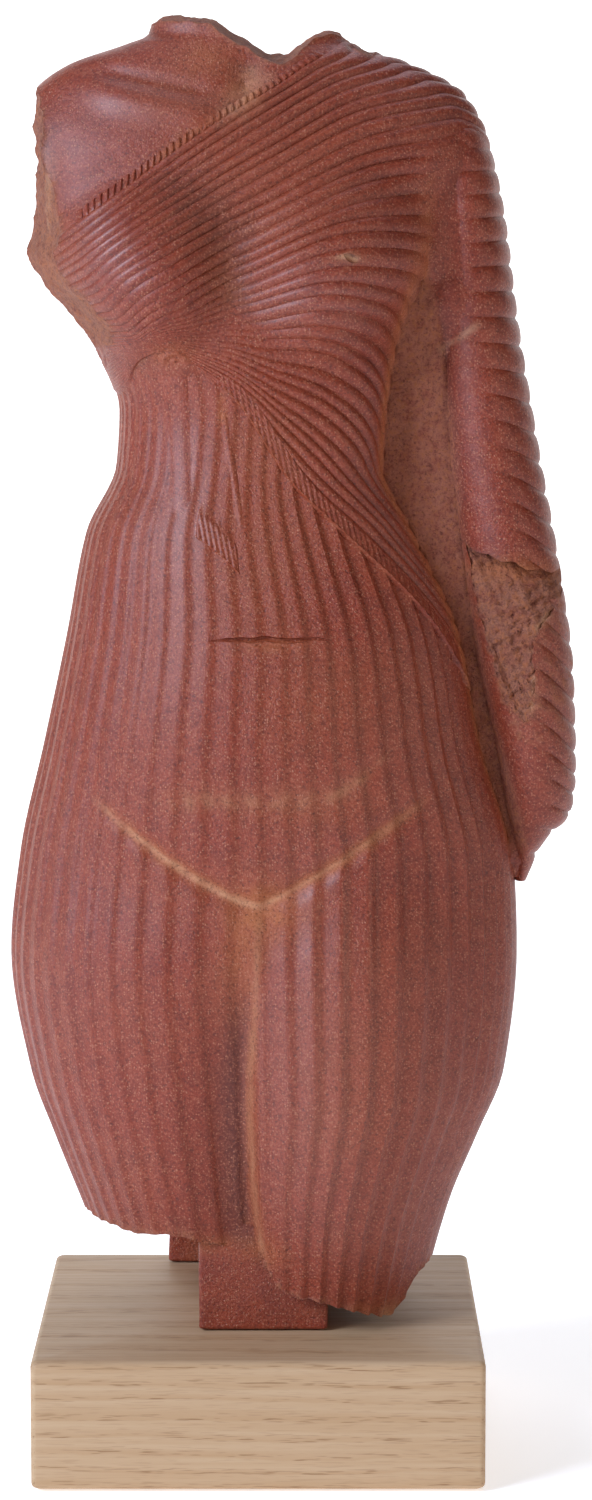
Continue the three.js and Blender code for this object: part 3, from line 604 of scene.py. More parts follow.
def web_mesh():
    """The stone between body and arm, from inside the body to the middle of the arm. Low down it is rough
    and set back, with a groove where it meets the arm. Under the shoulder it is a smooth bridge from the
    chest to the sleeve: a parabola that starts on the chest and comes in level with the sleeve."""
    height = np.linspace(WEB["foot"], WEB["top"], 130)[:, None]
    share = np.linspace(0, 1, 34)[None, :]
    inner = np.minimum(section["right"](run_at(height)) * 0.7, 24)
    near, middle = ring["inner"](height), (ring["inner"](height) + ring["outer"](height)) / 2
    x = inner + (middle - inner) * share
    z = height + 0 * x
    groove = 0.7 * bell(x - web_edge(z) - 0.4, 1.1) * (1 - smooth(z, 255, WEB["open_below"]))
    low = np.maximum(web_front(z), ring["front"](z) + 0.4) + 0.4 * ripple(x, z, 14)
    low = low + WEB["roughness"] * rough(2.2 * x, 1.6 * z) + groove
    chest_x = WEB["bridge_x"] + 0 * height
    chest_y = body_point(angle_at(chest_x, run_at(height)), run_at(height))[..., 1] + 0.1
    join = near + WEB["join"] * (middle - near)
    half_depth = (ring["back"](height) - ring["front"](height)) / 2
    sleeve_y = ring["front"](height) + half_depth * (1 - math.sqrt(1 - (1 - WEB["join"]) ** 2))
    way = (x - chest_x) / (join - chest_x)
    bridge = chest_y + (sleeve_y - chest_y) * (1 - (1 - np.clip(way, 0, 1)) ** 2) + 9 * np.maximum(-way, 0)
    bridge = bridge + 0.8 * np.maximum(x - join, 0)
    front = low + (bridge - low) * smooth(z, WEB["open_below"], WEB["closed_above"])
    return slab("web", np.stack([x, front, z], -1), np.stack([x, np.full_like(x, WEB["back"]), z], -1))


def laid_on(name, angle, run, height, sunk=SUNK):
    """A closed piece laid on the body: a grid of directions and runs, lifted by its height in front, and sunk
    below the body's surface behind."""
    return slab(name, lifted(body_point, angle, run, height), lifted(body_point, angle, run, -sunk))


def strip(name, angle, run, widths, across, height):
    """A low strip on the body along a path of (angle, run): its cross-section is height, the way out from the
    body, at each of the places across, which are runs added along the body."""
    place = across[None, :] * widths[:, None]
    return laid_on(name, angle[:, None] + 0 * place, run[:, None] + place, height, sunk=1.2)


def neckline_band():
    """The stitched band along the neckline: a low roll with a row of short stitches across it."""
    sizes = bpy.context.scene.statuette_sizes
    angle = np.linspace(math.radians(NECK_BAND["from"]), math.radians(NECK_BAND["to"]), 560)
    run = neck_run(angle)
    points = body_point(angle, run)
    way = np.concatenate([[0], np.cumsum(np.linalg.norm(np.diff(points, axis=0), axis=1))])
    across = np.linspace(-1, 1, 9)
    stitches = way[:, None] / (sizes.stitch_spacing / MM) + 0.1 * across[None, :]
    stitch = 0.5 + 0.5 * np.cos(2 * math.pi * stitches)
    roll = 1 - across[None, :] ** 6
    ends = (smooth(way, 0, 9) * smooth(way[-1] - way, 0, 6))[:, None]
    height = -0.6 + ends * roll * (0.66 + 0.5 * smooth(stitch, 0.3, 0.7))
    widths = np.full(angle.shape, NECK_BAND["half_width"])
    return strip("neckline", angle, run + NECK_BAND["above"], widths, across, height)


def fringe(name, angle, run, hang, proud):
    """A fringe above its lower edge, a path of (angle, run): upright strokes side by side, sunk to nothing at
    the top, with a fine cord along the lower edge."""
    spacing = bpy.context.scene.statuette_sizes.stroke_spacing / MM
    below = 0.08
    across = np.linspace(-below, 1, 12)
    where = body_point(angle[:, None] + 0 * across, run[:, None] + hang[:, None] * across)
    stroke = 0.5 + 0.5 * np.cos(2 * math.pi * (where[..., 0] + 0.2 * where[..., 2]) / spacing)
    share = np.linspace(0, 1, len(angle))
    ends = (smooth(share, 0, 0.1) * smooth(1 - share, 0, 0.1))[:, None]
    body = (smooth(across, -below, 0.02) * smooth(1 - across, 0, 0.3))[None, :]
    cord = 0.14 * bell(across - 0.03, 0.05)[None, :]
    height = -0.7 + ends * (body * (0.6 + proud + 0.15 * smooth(stroke, 0.2, 0.8)) + cord)
    return strip(name, angle, run, hang, across, height)


def fringes():
    """The shawl's fringe, along its lower edge from the knot to the hip, and the one at the sash's end."""
    angle = np.radians(np.linspace(-20, 82, 460))
    hang = SHAWL_FRINGE["hang"] - SHAWL_FRINGE["less_left"] * smooth(-np.degrees(angle), -4, 18)
    shawl = fringe("shawl_fringe", angle, edge_run(angle) + 0.3, hang, SHAWL_FRINGE["proud"])
    share = np.linspace(0, 1, 90)
    x = SASH_FRINGE["x"] + SASH_FRINGE["width"] * share
    z = SASH_FRINGE["z"] - SASH_FRINGE["fall"] * share + 0.6 * np.sin(math.pi * share)
    hang = np.full(share.shape, SASH_FRINGE["hang"])
    return [shawl, fringe("sash_fringe", angle_at(x, z), z, hang, SASH_FRINGE["proud"])]


def knot_mesh():
    """The knot under the breast: a low round mound whose folds arch over its upper half."""
    reach = np.linspace(0.02, 1, 28)[:, None]
    turn = np.linspace(0, 2 * math.pi, 72, endpoint=False)[None, :]
    x = KNOT["x"] + KNOT["half_width"] * reach * np.cos(turn)
    z = KNOT["z"] + KNOT["half_height"] * reach * np.sin(turn)
    arches = KNOT["folds"] * np.cos(16 * reach + 0.8 * np.sin(2 * turn + 1)) * smooth(np.sin(turn), -0.5, 0.3)
    angle = angle_at(x, z)
    front = lifted(body_point, angle, z, -KNOT["sunk"] + (KNOT["rise"] + arches) * (1 - reach ** 3))
    back = lifted(body_point, angle, z, -SUNK)
    return tube("knot", np.concatenate([front, back[::-1]]))


def sash_meshes():
    """The sash's hanging end, a smooth flat band down from the knot, and one round fold beside it."""
    share = np.linspace(0, 1, 70)[:, None]
    across = np.linspace(-1, 1, 9)[None, :]

    def hanging(name, piece, x, half_width, lift):
        run = piece["z"] - piece["length"] * share + 0 * across
        return laid_on(name, angle_at(x + half_width * across, run), run, lift)

    x = SASH["x"] + 1.2 * share + 1.6 * share ** 3
    lift = SASH["rise"] - 1.2 * smooth(share, 0.7, 1) - 0.9 * np.abs(across) ** 3
    band = hanging("sash", SASH, x, SASH["half_width"] + 0.4 * share, lift)
    x = SASH_FOLD["x"] + 6.8 * share - 1.2 * share * (1 - share)
    ends = smooth(share, 0, 0.15) * smooth(1 - share, 0, 0.4)
    lift = -0.8 + ends * (SASH_FOLD["rise"] + SASH_FOLD["round"] * np.cos(across * math.pi / 2))
    return [band, hanging("fold", SASH_FOLD, x, SASH_FOLD["half_width"], lift)]


def break_block(name, u, v, face, back):
    """A block that takes away what lies past a broken face: face(u, v) gives its points on a grid, and back
    is how far the block goes on behind it."""
    u, v = np.meshgrid(u, v, indexing="ij")
    front = face(u, v)
    return slab(name, front, front + np.array(back, float))


def neck_height(x, y):
    """The height of the neck's break: two humps with a dip between them, falling a little to the front."""
    outside = 0.55 * np.maximum(0, np.abs(x + 1) - 26)
    return NECK_LOW + neck_line(x) + outside + NECK_FALL * (y + 3) + 0.5 * crag(x, y, 13) + rough(x, y)


def shoulder_x(y, z):
    """The shoulder's break as x by y and z: an upright face that draws in below and turns most between the
    two."""
    turn = SHOULDER["turn"] + SHOULDER["more_turn"] * fade(z, 272, 294) * smooth(z, 240, 256)
    flat = shoulder_line(z) - turn * (y - SHOULDER["pivot"])
    return flat + 0.9 * crag(y, z, 17) * smooth(z, 244, 254) + SHOULDER["roughness"] * rough(y, z)


def leg_height(x, y):
    """The height of the legs' broken ends, rising a little to the back."""
    return leg_break(x) + LEG_BACK_RISE * (y - LEG_FRONT) + 0.6 * crag(x, y, 15) + rough(x, y)


def forearm_sides(z):
    """The left and right side of the forearm's broken patch by height."""
    share = (z - FOREARM["foot"]) / (FOREARM["top"] - FOREARM["foot"])
    left = FOREARM["left_foot"] + (FOREARM["left"] - FOREARM["left_foot"]) * share
    out = FOREARM["right"] - FOREARM["waist"]
    return left, FOREARM["waist"] + out * smooth(z, FOREARM["waist_at"], 197)


def lip_wave(share):
    """How far the lip over the forearm's patch stands above its top, by the share of the way across it."""
    return FOREARM["lip_rise"] * (1 - share) ** 2 - FOREARM["lip_fall"] * share


def forearm_y(x, z):
    """The broken patch on the forearm as y by x and z: it starts flush at its left side and its foot, sinks
    into the arm, lies deepest under the lip above it, and comes up again towards its right side."""
    left, right = forearm_sides(z)
    inner, outer, front, back = (ring[side](z) for side in ("inner", "outer", "front", "back"))
    across = np.clip((2 * x - inner - outer) / (outer - inner), -0.97, 0.97)
    round_y = (back + front) / 2 - (back - front) / 2 * np.sqrt(1 - across ** 2)
    share = (x - left) / (right - left)
    up = (z - FOREARM["foot"]) / (FOREARM["top"] - FOREARM["foot"])
    sink = FOREARM["sink"] * smooth(share, -0.1, 0.4) * (1 - 0.6 * smooth(share, 0.6, 1.0))
    sink = sink * smooth(up, 0, 0.3) + FOREARM["lip"] * smooth(up, 0.75, 1) * smooth(share, -0.02, 0.2)
    crags = round_y - 0.2 + sink + 0.5 * crag(x, z, 7) + 0.5 * crag(z, -x, 3.1)
    return crags + 1.2 * rough(1.9 * x + 3 * ripple(z, x, 9), 1.9 * z)


def break_meshes():
    """The four breaks as blocks to be taken away."""
    neck = break_block("neck_break", np.linspace(-40, 40, 80), np.linspace(-30, 40, 56),
                       lambda x, y: np.stack([x, y, neck_height(x, y)], -1), (0, 0, 40))
    shoulder = break_block("shoulder_break", np.linspace(SHOULDER["foot"], 330, 80), np.linspace(-40, 40, 70),
                           lambda z, y: np.stack([shoulder_x(y, z), y, z], -1), (-30, 0, 0))
    legs = break_block("leg_break", np.linspace(-60, 60, 86), np.linspace(-70, 70, 130),
                       lambda y, x: np.stack([x, y, leg_height(x, y)], -1), (0, 0, -60))

    def patch(s, t):
        """A patch wide above and pointed below, with wavy sides and a wavy lip."""
        height = FOREARM["foot"] + (FOREARM["top"] - FOREARM["foot"]) * t
        left, right = forearm_sides(height)
        left = left + 0.5 * crag(height, height, 9)
        x = left + (right + 0.7 * crag(height, -height, 7) - left) * s
        z = height + t ** 4 * (lip_wave(s) + 0.9 * crag(x, x, 8))
        return np.stack([x, forearm_y(x, z), z], -1)

    forearm = break_block("forearm_break", np.linspace(0, 1, 46), np.linspace(0, 1, 70), patch, (0, -30, 0))
    return [neck, shoulder, legs, forearm]


def lens_cut(name, left, right, z_at, half_height, depth):
    """A thin lens let into the front along a line from left to right: deepest and tallest in the middle."""
    share = np.linspace(0, 1, 60)[:, None]
    turn = np.linspace(0, 2 * math.pi, 14, endpoint=False)[None, :]
    x = left + (right - left) * share
    size = np.sqrt(np.sin(math.pi * np.clip(share, 0.004, 0.996)))
    z = z_at(x) + half_height * size * np.sin(turn)
    surface = body_point(angle_at(x + 0 * turn, z), z)
    y = surface[..., 1] - depth * size * np.cos(turn)
    return tube(name, np.stack([x + 0 * turn, y, z], -1))


def front_cuts():
    """The navel's line, the chip below it and the chip on the breast."""
    return [
        lens_cut("navel", -11, 16, lambda x: 186 - 0.0009 * (x - 3) ** 2 + 0.3 * ripple(x, 0, 9), 0.7, 1.4),
        lens_cut("navel_chip", -1, 8, lambda x: 184.7 + 0.3 * ripple(x, 3, 5), 0.7, 0.5),
        lens_cut("breast_chip", 18.4, 22.6, lambda x: 269.4 - 0.25 * (x - 20), 1.1, 0.7),
    ]


def post_meshes():
    """The post in front and the pillar with its heel behind, with eased edges and slightly uneven faces."""
    def uneven(grid):
        grid[..., 0] += UNEVEN["height"] * ripple(grid[..., 1], grid[..., 2], UNEVEN["length"], 5)
        grid[..., 1] += UNEVEN["height"] * ripple(grid[..., 0], grid[..., 2], UNEVEN["length"], 6)
        return grid

    post = block(lambda z: (POST["left"], POST["right"], POST["front"], PILLAR["heel_front"] + 1),
                 np.linspace(SEAT, POST["top"], 24), 0.8, 25)
    heel = block(lambda z: (-PILLAR["half_foot"], PILLAR["half_foot"], PILLAR["heel_front"], PILLAR["back"]),
                 np.linspace(SEAT, PILLAR["start"] + 3, 20), 0.8, 25)

    def shaft(z):
        up = np.clip((z - PILLAR["start"]) / (PILLAR["top"] - PILLAR["start"]), 0, 1)
        half = PILLAR["half_foot"] + (PILLAR["half_top"] - PILLAR["half_foot"]) * up
        return -half, half, PILLAR["front"], PILLAR["back"]

    pillar = block(shaft, np.linspace(PILLAR["start"], PILLAR["top"], 40), 1.2, 20)
    back_share = (pillar[..., 1] - PILLAR["front"]) / (PILLAR["back"] - PILLAR["front"])
    pillar[..., 2] -= PILLAR["fall"] * back_share * smooth(pillar[..., 2], PILLAR["top"] - 30, PILLAR["top"])
    return [tube("post", uneven(post)), tube("heel", uneven(heel)), tube("pillar", uneven(pillar))]


def to_linear(hex_colour):
    """An sRGB hex colour as linear red, green and blue, by the standard's straight foot and power curve."""
    values = [int(hex_colour[i : i + 2], 16) / 255 for i in (1, 3, 5)]
    return tuple(v / 12.92 if v <= 0.04045 else ((v + 0.055) / 1.055) ** 2.4 for v in values)


def add(tree, kind, inputs=None, **settings):
    """Adds a shader node with its settings. Its inputs come from values, from sockets, or from other nodes,
    which give their first output."""
    made = tree.nodes.new("ShaderNode" + kind)
    for key, value in settings.items():
        setattr(made, key, value)
    for key, value in (inputs or {}).items():
        if isinstance(value, bpy.types.Node):
            value = value.outputs[0]
        if isinstance(value, bpy.types.NodeSocket):
            tree.links.new(value, made.inputs[key])
        else:
            made.inputs[key].default_value = value
    return made


def new_material(name):
    """An empty node material and its tree."""
    material = bpy.data.materials.new(name)
    material.use_nodes = True
    material.node_tree.nodes.clear()
    return material, material.node_tree


def rgba(colour):
    """A colour with full opacity."""
    return (*colour[:3], 1.0)


def neighbours_mean(values, edges, rounds):
    """Each vertex's value drawn halfway to the mean of its neighbours, over and over."""
    count = len(values)
    a, b = edges.T
    degree = np.maximum(np.bincount(a, minlength=count) + np.bincount(b, minlength=count), 1)
    for _ in range(rounds):
        total = [np.bincount(a, part[b], count) + np.bincount(b, part[a], count) for part in values.T]
        values = 0.5 * values + 0.5 * np.stack(total, 1) / degree[:, None]
    return values


# Places where tan dust has stayed: x, z, half width, half height, strength
DUSTY = [
    (-2.5, 306, 4, 5, 0.7), (-19, 248, 6, 3, 0.4), (3, 185, 9, 1.4, 0.6), (-48, 262, 3, 12, 0.5),
    (56, 200, 9, 2.5, 0.9), (0.5, 48, 6, 3, 0.6), (-10, 49, 9, 2, 0.5), (0, 131, 9, 4, 0.35),
    (22, 33.5, 9, 1.5, 0.6), (10, 150, 16, 5, 0.25), (-12, 313, 7, 5, 0.45), (-8, 236, 1.2, 3.5, 0.8),
    (2, 285, 22, 20, 0.16), (-1, 215, 15, 34, 0.25), (20, 88, 15, 30, 0.2), (-15, 305, 14, 8, 0.2),
    (15, 170, 16, 16, 0.15), (1, 128, 14, 7, 0.3),
]
# Places polished by hands: x, z, half width, half height, strength
POLISHED = [
    (-35, 269, 9, 8, 1), (-32, 302, 14, 8, 0.5), (-14, 313, 8, 5, 1), (13, 94, 13, 40, 0.9),
    (-44, 130, 10, 30, 0.4), (14, 262, 8, 9, 0.85), (-14, 212, 6, 16, 0.5),
]
# Fine lines and chips that show pale: from x, z to x, z, half width, strength
MARKS = [
    (40.7, 248.9, 49, 254.5, 0.35, 0.8), (19.2, 269.8, 21.4, 269, 0.7, 1),
    (27.8, 31.5, 30.4, 31.7, 0.9, 1), (-46.5, 293, -47.5, 276, 0.7, 0.5),
    (62.3, 187, 65, 190, 0.6, 0.7), (61.6, 176, 61.2, 169, 0.5, 0.6), (-5, 302, -1, 309, 3.2, 0.3),
]


def seam_x(z):
    """Where the body's side goes into the stone beside the arm, as x by height: the outline's x where its y
    is that of the stone's front. There the outline faces the arm by about six tenths."""
    run = run_at(z)
    widest, front = section["widest"](run), section["front"](run)
    share = np.clip((widest - web_front(z)) / (widest - front), 0, 1)
    power = SQUARENESS + CHEST_EDGE["squareness"] * chest_edge(run) * 0.6
    left, right = section["left"](run), section["right"](run)
    return (right + left) / 2 + (right - left) / 2 * (1 - share ** power) ** (1 / power)


def height_along(run_of, x):
    """The height on the front, by x, of a line round the body that is given as its run by direction."""
    angle = np.linspace(math.radians(-70), math.radians(70), 300)
    line = body_point(angle, run_of(angle))
    return np.interp(x, line[:, 0], line[:, 2])


def near_segment(x, z, ends):
    """The distance from each point to a segment from (x, z) to (x, z)."""
    from_x, from_z, to_x, to_z = ends
    way_x, way_z = to_x - from_x, to_z - from_z
    share = np.clip(((x - from_x) * way_x + (z - from_z) * way_z) / (way_x ** 2 + way_z ** 2), 0, 1)
    return np.hypot(x - from_x - share * way_x, z - from_z - share * way_z)


def spots(x, z, table):
    """The strongest of a table's round spots at each point, as bell curves in x and z."""
    return np.maximum.reduce([
        strength * bell(x - middle_x, width) * bell(z - middle_z, height)
        for middle_x, middle_z, width, height, strength in table
    ])


def read(collection, name, across, kind=np.float32):
    """A mesh collection's values of one name as an array with so many columns."""
    values = np.empty(len(collection) * across, kind)
    collection.foreach_get(name, values)
    return values.reshape(-1, across)


def write_fields(mesh):
    """Vertex fields that the material reads: dark (painted shade in grooves and corners, in the crease and
    under the patch's lip, and dark patina beside the arm), dust (tan in lines and hollows), pale (the core of
    a line, paler on the groin's left as painted light, and chips), web (the stone beside the arm), broken (on
    the face of a break) and polish. A groove or hollow is found from how far a point lies below its smoothed
    surroundings."""
    points = read(mesh.vertices, "co", 3).astype(float) / MM
    normals = read(mesh.vertices, "normal", 3).astype(float)
    edges = read(mesh.edges, "vertices", 2, np.int32)
    near = neighbours_mean(points, edges, 6)
    wide = neighbours_mean(near, edges, 60)
    narrow_depth = np.einsum("ij,ij->i", near - points, normals)
    wide_depth = np.einsum("ij,ij->i", wide - near, normals)
    x, y, z = points.T
    # A vertex is on a break if it lies within about a tenth of a millimetre of its face.
    skin = 0.12
    on_arm = (x > 44) * (z > 160) * (z < 207)
    broken = np.maximum.reduce([
        bell(z - neck_height(x, y), skin) * (z > 300),
        bell(x - shoulder_x(y, z), skin) * (x < -20) * (z > 250),
        bell(z - leg_height(x, y), skin) * (z < 62),
        bell(y - forearm_y(x, z), skin) * on_arm,
    ])
    facing = fade(y, -2, 8)
    front = fade(y, -14, -5)
    groin, reach = groin_height(x)
    groin_fade = (1 - reach ** 6) * front
    in_fold = fold_share(x) * front
    from_fold = z - fold_height(x)
    side = x - crease_line(z)
    in_crease = smooth(CREASE["top"] + 3 - z, 0, 8) * front * (z > leg_height(x, y))
    seam, outer_edge = seam_x(z), web_edge(z)
    beside = smooth(z, 133, 139) * fade(z, 280, 292) * (x > 20) * fade(y, -1, 4)
    web = beside * smooth(x, seam, seam + 0.7) * smooth(outer_edge - x, 0, 1.2) * fade(z, 262, 270)
    under_band = bell(z - height_along(neck_run, x) - 0.8, 1.3) * smooth(x, -34, -18) * fade(x, 8, 16)
    under_fringe = bell(z - height_along(edge_run, x) - 0.2, 0.7) * smooth(x, -12, -4) * fade(x, 30, 40)
    dust = np.maximum.reduce([
        # Along the groin's lines, where they meet, and along the belly's fold
        0.75 * bell(z - groin, 1.9) * groin_fade,
        1.0 * bell(x - GROIN["x"], 8) * bell(z - GROIN["z"] + 1, 6) * front,
        0.48 * bell(from_fold, 1.6) * in_fold,
        # On the edge of the front thigh, and in the top of the crease
        0.5 * bell(side - 2.4, 1.1) * in_crease,
        0.55 * bell(side + 1, 5.5) * in_crease * smooth(z, 92, 122),
        # In the seam beside the body, and where it runs out under the shoulder
        0.9 * beside * bell(x - seam + 0.2, 0.6) * fade(z, 266, 276),
        0.6 * beside * bell(x - 37 - 0.04 * (z - 266), 1) * smooth(z, 260, 266),
        # In wide hollows, under the neckline's band and the fringe, and in the places of the table
        0.4 * smooth(wide_depth, 0.6, 2.2),
        0.5 * under_band * front,
        0.35 * under_fringe * front,
        spots(x, z, DUSTY) * facing,
    ])
    pale = np.maximum.reduce([
        # The groin's lines have a pale core, made paler on the left as painted light from the left
        (0.85 - 0.45 * smooth(x, -2, 8)) * bell(z - groin, 0.55) * groin_fade,
        0.28 * bell(from_fold, 0.7) * in_fold,
        0.35 * bell(side - 2.4, 0.5) * in_crease,
        *(strength * bell(near_segment(x, z, ends), width) * facing for *ends, width, strength in MARKS),
    ])
    left, right = forearm_sides(z)
    patch_share = np.clip((x - left) / (right - left), 0, 1)
    lip = FOREARM["top"] + lip_wave(patch_share)
    dark = np.maximum.reduce([
        # Painted shade in grooves, beside the broken shoulder, in the crease and under the patch's lip; dark
        # patina beside the arm
        0.9 * smooth(narrow_depth, 0.08, 0.5),
        0.6 * bell(x + 48, 2.5) * bell(z - 293, 8) * fade(y, -2, 4),
        0.9 * bell(side + 1.5, 3.4) * in_crease * fade(z, 96, 112),
        (0.35 + 0.4 * smooth(z, 200, 215)) * beside * bell(x - outer_edge + 0.2, 1) * fade(z, 250, 262),
        bell(z - lip + 0.7, 1.2) * bell(patch_share - 0.35, 0.35) * (x > 44) * fade(y, -2, 4),
    ])
    fields = {"dark": dark, "dust": dust, "pale": pale, "web": web, "broken": broken}
    fields["polish"] = spots(x, z, POLISHED) * facing
    for name, values in fields.items():
        field = mesh.attributes.new(name, "FLOAT", "POINT")
        field.data.foreach_set("value", neighbours_mean(values[:, None], edges, 1)[:, 0].astype(np.float32))


# In the materials below, inputs 1 to 4 of a Map Range node are its from low, from high, to low and to high.
# A colour Mix node has its share at 0, the colour below at 6 and the colour above at 7, and its result is
# output 2.


def cast_stone(finish):
    """Resin filled with stone powder, tinted through, cast in a mould and waxed. The mould leaves a fine
    sandy skin, the wax a soft satin sheen, and the tan dust stays in lines and hollows; the breaks are dry,
    rough and paler. Shade is painted dark into the grooves, the crease and under the patch's lip."""
    material, tree = new_material("cast_stone_moulded_and_waxed")
    place = add(tree, "TexCoord").outputs["Object"]
    dark, dust, pale, web, broken, polish = (
        add(tree, "Attribute", attribute_name=name).outputs["Fac"]
        for name in ("dark", "dust", "pale", "web", "broken", "polish")
    )
    clouds = add(tree, "TexNoise", {"Vector": place, "Scale": 1 / (18 * MM), "Detail": 3.0})
    mottle = add(tree, "TexNoise", {"Vector": place, "Scale": 1 / (3.2 * MM), "Detail": 4.0})
    # The mould's sandy skin is about 0.1 mm fine and is drawn 0.6 mm across, so that it shows.
    sand = add(tree, "TexNoise", {"Vector": place, "Scale": 1 / (0.6 * MM), "Detail": 3.0, "Roughness": 0.7})
    # Broken and rough-hewn stone is crumbly, with crumbs of about a millimetre.
    crumbs = add(tree, "TexNoise", {
        "Vector": place, "Scale": 1 / (1.1 * MM), "Detail": 5.0, "Roughness": 0.75})
    crumbly = add(tree, "Math", {0: broken, 1: web}, operation="MAXIMUM")
    # The filler's grains are 0.1 mm across and are drawn half a millimetre apart for the same reason.
    cells = add(tree, "TexVoronoi", {"Vector": place, "Scale": 1 / (0.55 * MM)})
    chance = add(tree, "SeparateColor", {"Color": cells.outputs["Color"]})
    chosen = add(tree, "MapRange", {"Value": chance, 1: 0.4, 2: 1.0, 3: 0.0, 4: 0.85})
    grains = add(tree, "MapRange", {"Value": cells, 1: 0.5, 2: 0.15, 3: 0.0, 4: chosen})

    # Warm and dark clouds, as the tint settled unevenly, and a patchy share for what lies on them
    warm = add(tree, "MapRange", {"Value": clouds, 1: 0.38, 2: 0.62, 3: 0.0, 4: 0.6})
    deep = add(tree, "MapRange", {"Value": mottle, 1: 0.42, 2: 0.66, 3: 0.0, 4: 0.4})
    patchy = add(tree, "MapRange", {"Value": mottle, 1: 0.3, 2: 0.6, 3: 0.45, 4: 1.0})
    # The pale share holds the lines' cores and chips, and painted light on the groin's left
    on_web, on_break, dusted, pale_and_painted_light = (
        add(tree, "Math", {0: field, 1: patchy}, operation="MULTIPLY") for field in (web, broken, dust, pale)
    )
    # Painted shade in grooves, the crease and under the patch's lip, with dark patina beside the arm, at six
    # tenths
    painted_shade_and_patina = add(tree, "Math", {0: dark, 1: 0.6}, operation="MULTIPLY")
    # Pits of the skin hold dark wax, and its tops and the filler's grains are rubbed pale.
    pits = add(tree, "MapRange", {"Value": sand, 1: 0.48, 2: 0.3, 3: 0.0, 4: 0.75})
    tops = add(tree, "MapRange", {"Value": sand, 1: 0.52, 2: 0.72, 3: 0.0, 4: 0.45})
    rubbed = add(tree, "Math", {0: tops, 1: grains}, operation="ADD")
    low_crumbs = add(tree, "MapRange", {"Value": crumbs, 1: 0.5, 2: 0.32, 3: 0.0, 4: 0.55})
    high_crumbs = add(tree, "MapRange", {"Value": crumbs, 1: 0.48, 2: 0.66, 3: 0.0, 4: 0.85})
    crumb_pits, crumb_tops = (
        add(tree, "Math", {0: level, 1: crumbly}, operation="MULTIPLY") for level in (low_crumbs, high_crumbs)
    )
    colour = rgba(finish.stone)
    for share, tint in (
        (warm, finish.stone_warm),
        (deep, finish.stone_dark),
        (on_web, finish.web_brown),
        (on_break, finish.break_face),
        (painted_shade_and_patina, finish.groove),
        (dusted, finish.dust),
        (pale_and_painted_light, finish.pale),
        (pits, finish.groove),
        (rubbed, finish.grain),
        (crumb_pits, finish.stone_dark),
        (crumb_tops, finish.dust),
    ):
        colour = add(tree, "Mix", {0: share, 6: colour, 7: rgba(tint)}, data_type="RGBA").outputs[2]

    dry = add(tree, "Math", {0: broken, 1: dusted}, operation="MAXIMUM")
    dry = add(tree, "Math", {0: dry, 1: web}, operation="MAXIMUM")
    gloss = add(tree, "MapRange", {"Value": mottle, 1: 0.3, 2: 0.7, 3: 0.37, 4: 0.5})
    gloss = add(tree, "Math", {0: dry, 1: 0.3, 2: gloss}, operation="MULTIPLY_ADD")
    height = add(tree, "Math", {0: sand, 1: mottle}, operation="ADD")
    height = add(tree, "Math", {0: grains, 1: 0.5, 2: height}, operation="MULTIPLY_ADD")
    bump = add(tree, "Bump", {"Height": height, "Strength": 0.9, "Distance": 0.3 * MM})
    height = add(tree, "Math", {0: crumbs, 1: crumbly}, operation="MULTIPLY")
    bump = add(tree, "Bump", {"Height": height, "Strength": 0.9, "Distance": 0.9 * MM, "Normal": bump})
    # Dry stone has no wax on it, and hands have rubbed the wax brighter in places.
    bare = add(tree, "MapRange", {"Value": dry, 1: 0.0, 2: 0.5, 3: 1.0, 4: 0.0})
    wax = add(tree, "Math", {0: polish, 1: 0.75, 2: 0.24}, operation="MULTIPLY_ADD")
    wax = add(tree, "Math", {0: wax, 1: bare}, operation="MULTIPLY")
    surface = add(tree, "BsdfPrincipled", {
        "Base Color": colour, "Roughness": gloss, "Normal": bump, "Specular IOR Level": 0.35,
        "Coat Weight": wax, "Coat Roughness": 0.4,
    })
    add(tree, "OutputMaterial", {"Surface": surface})
    return material


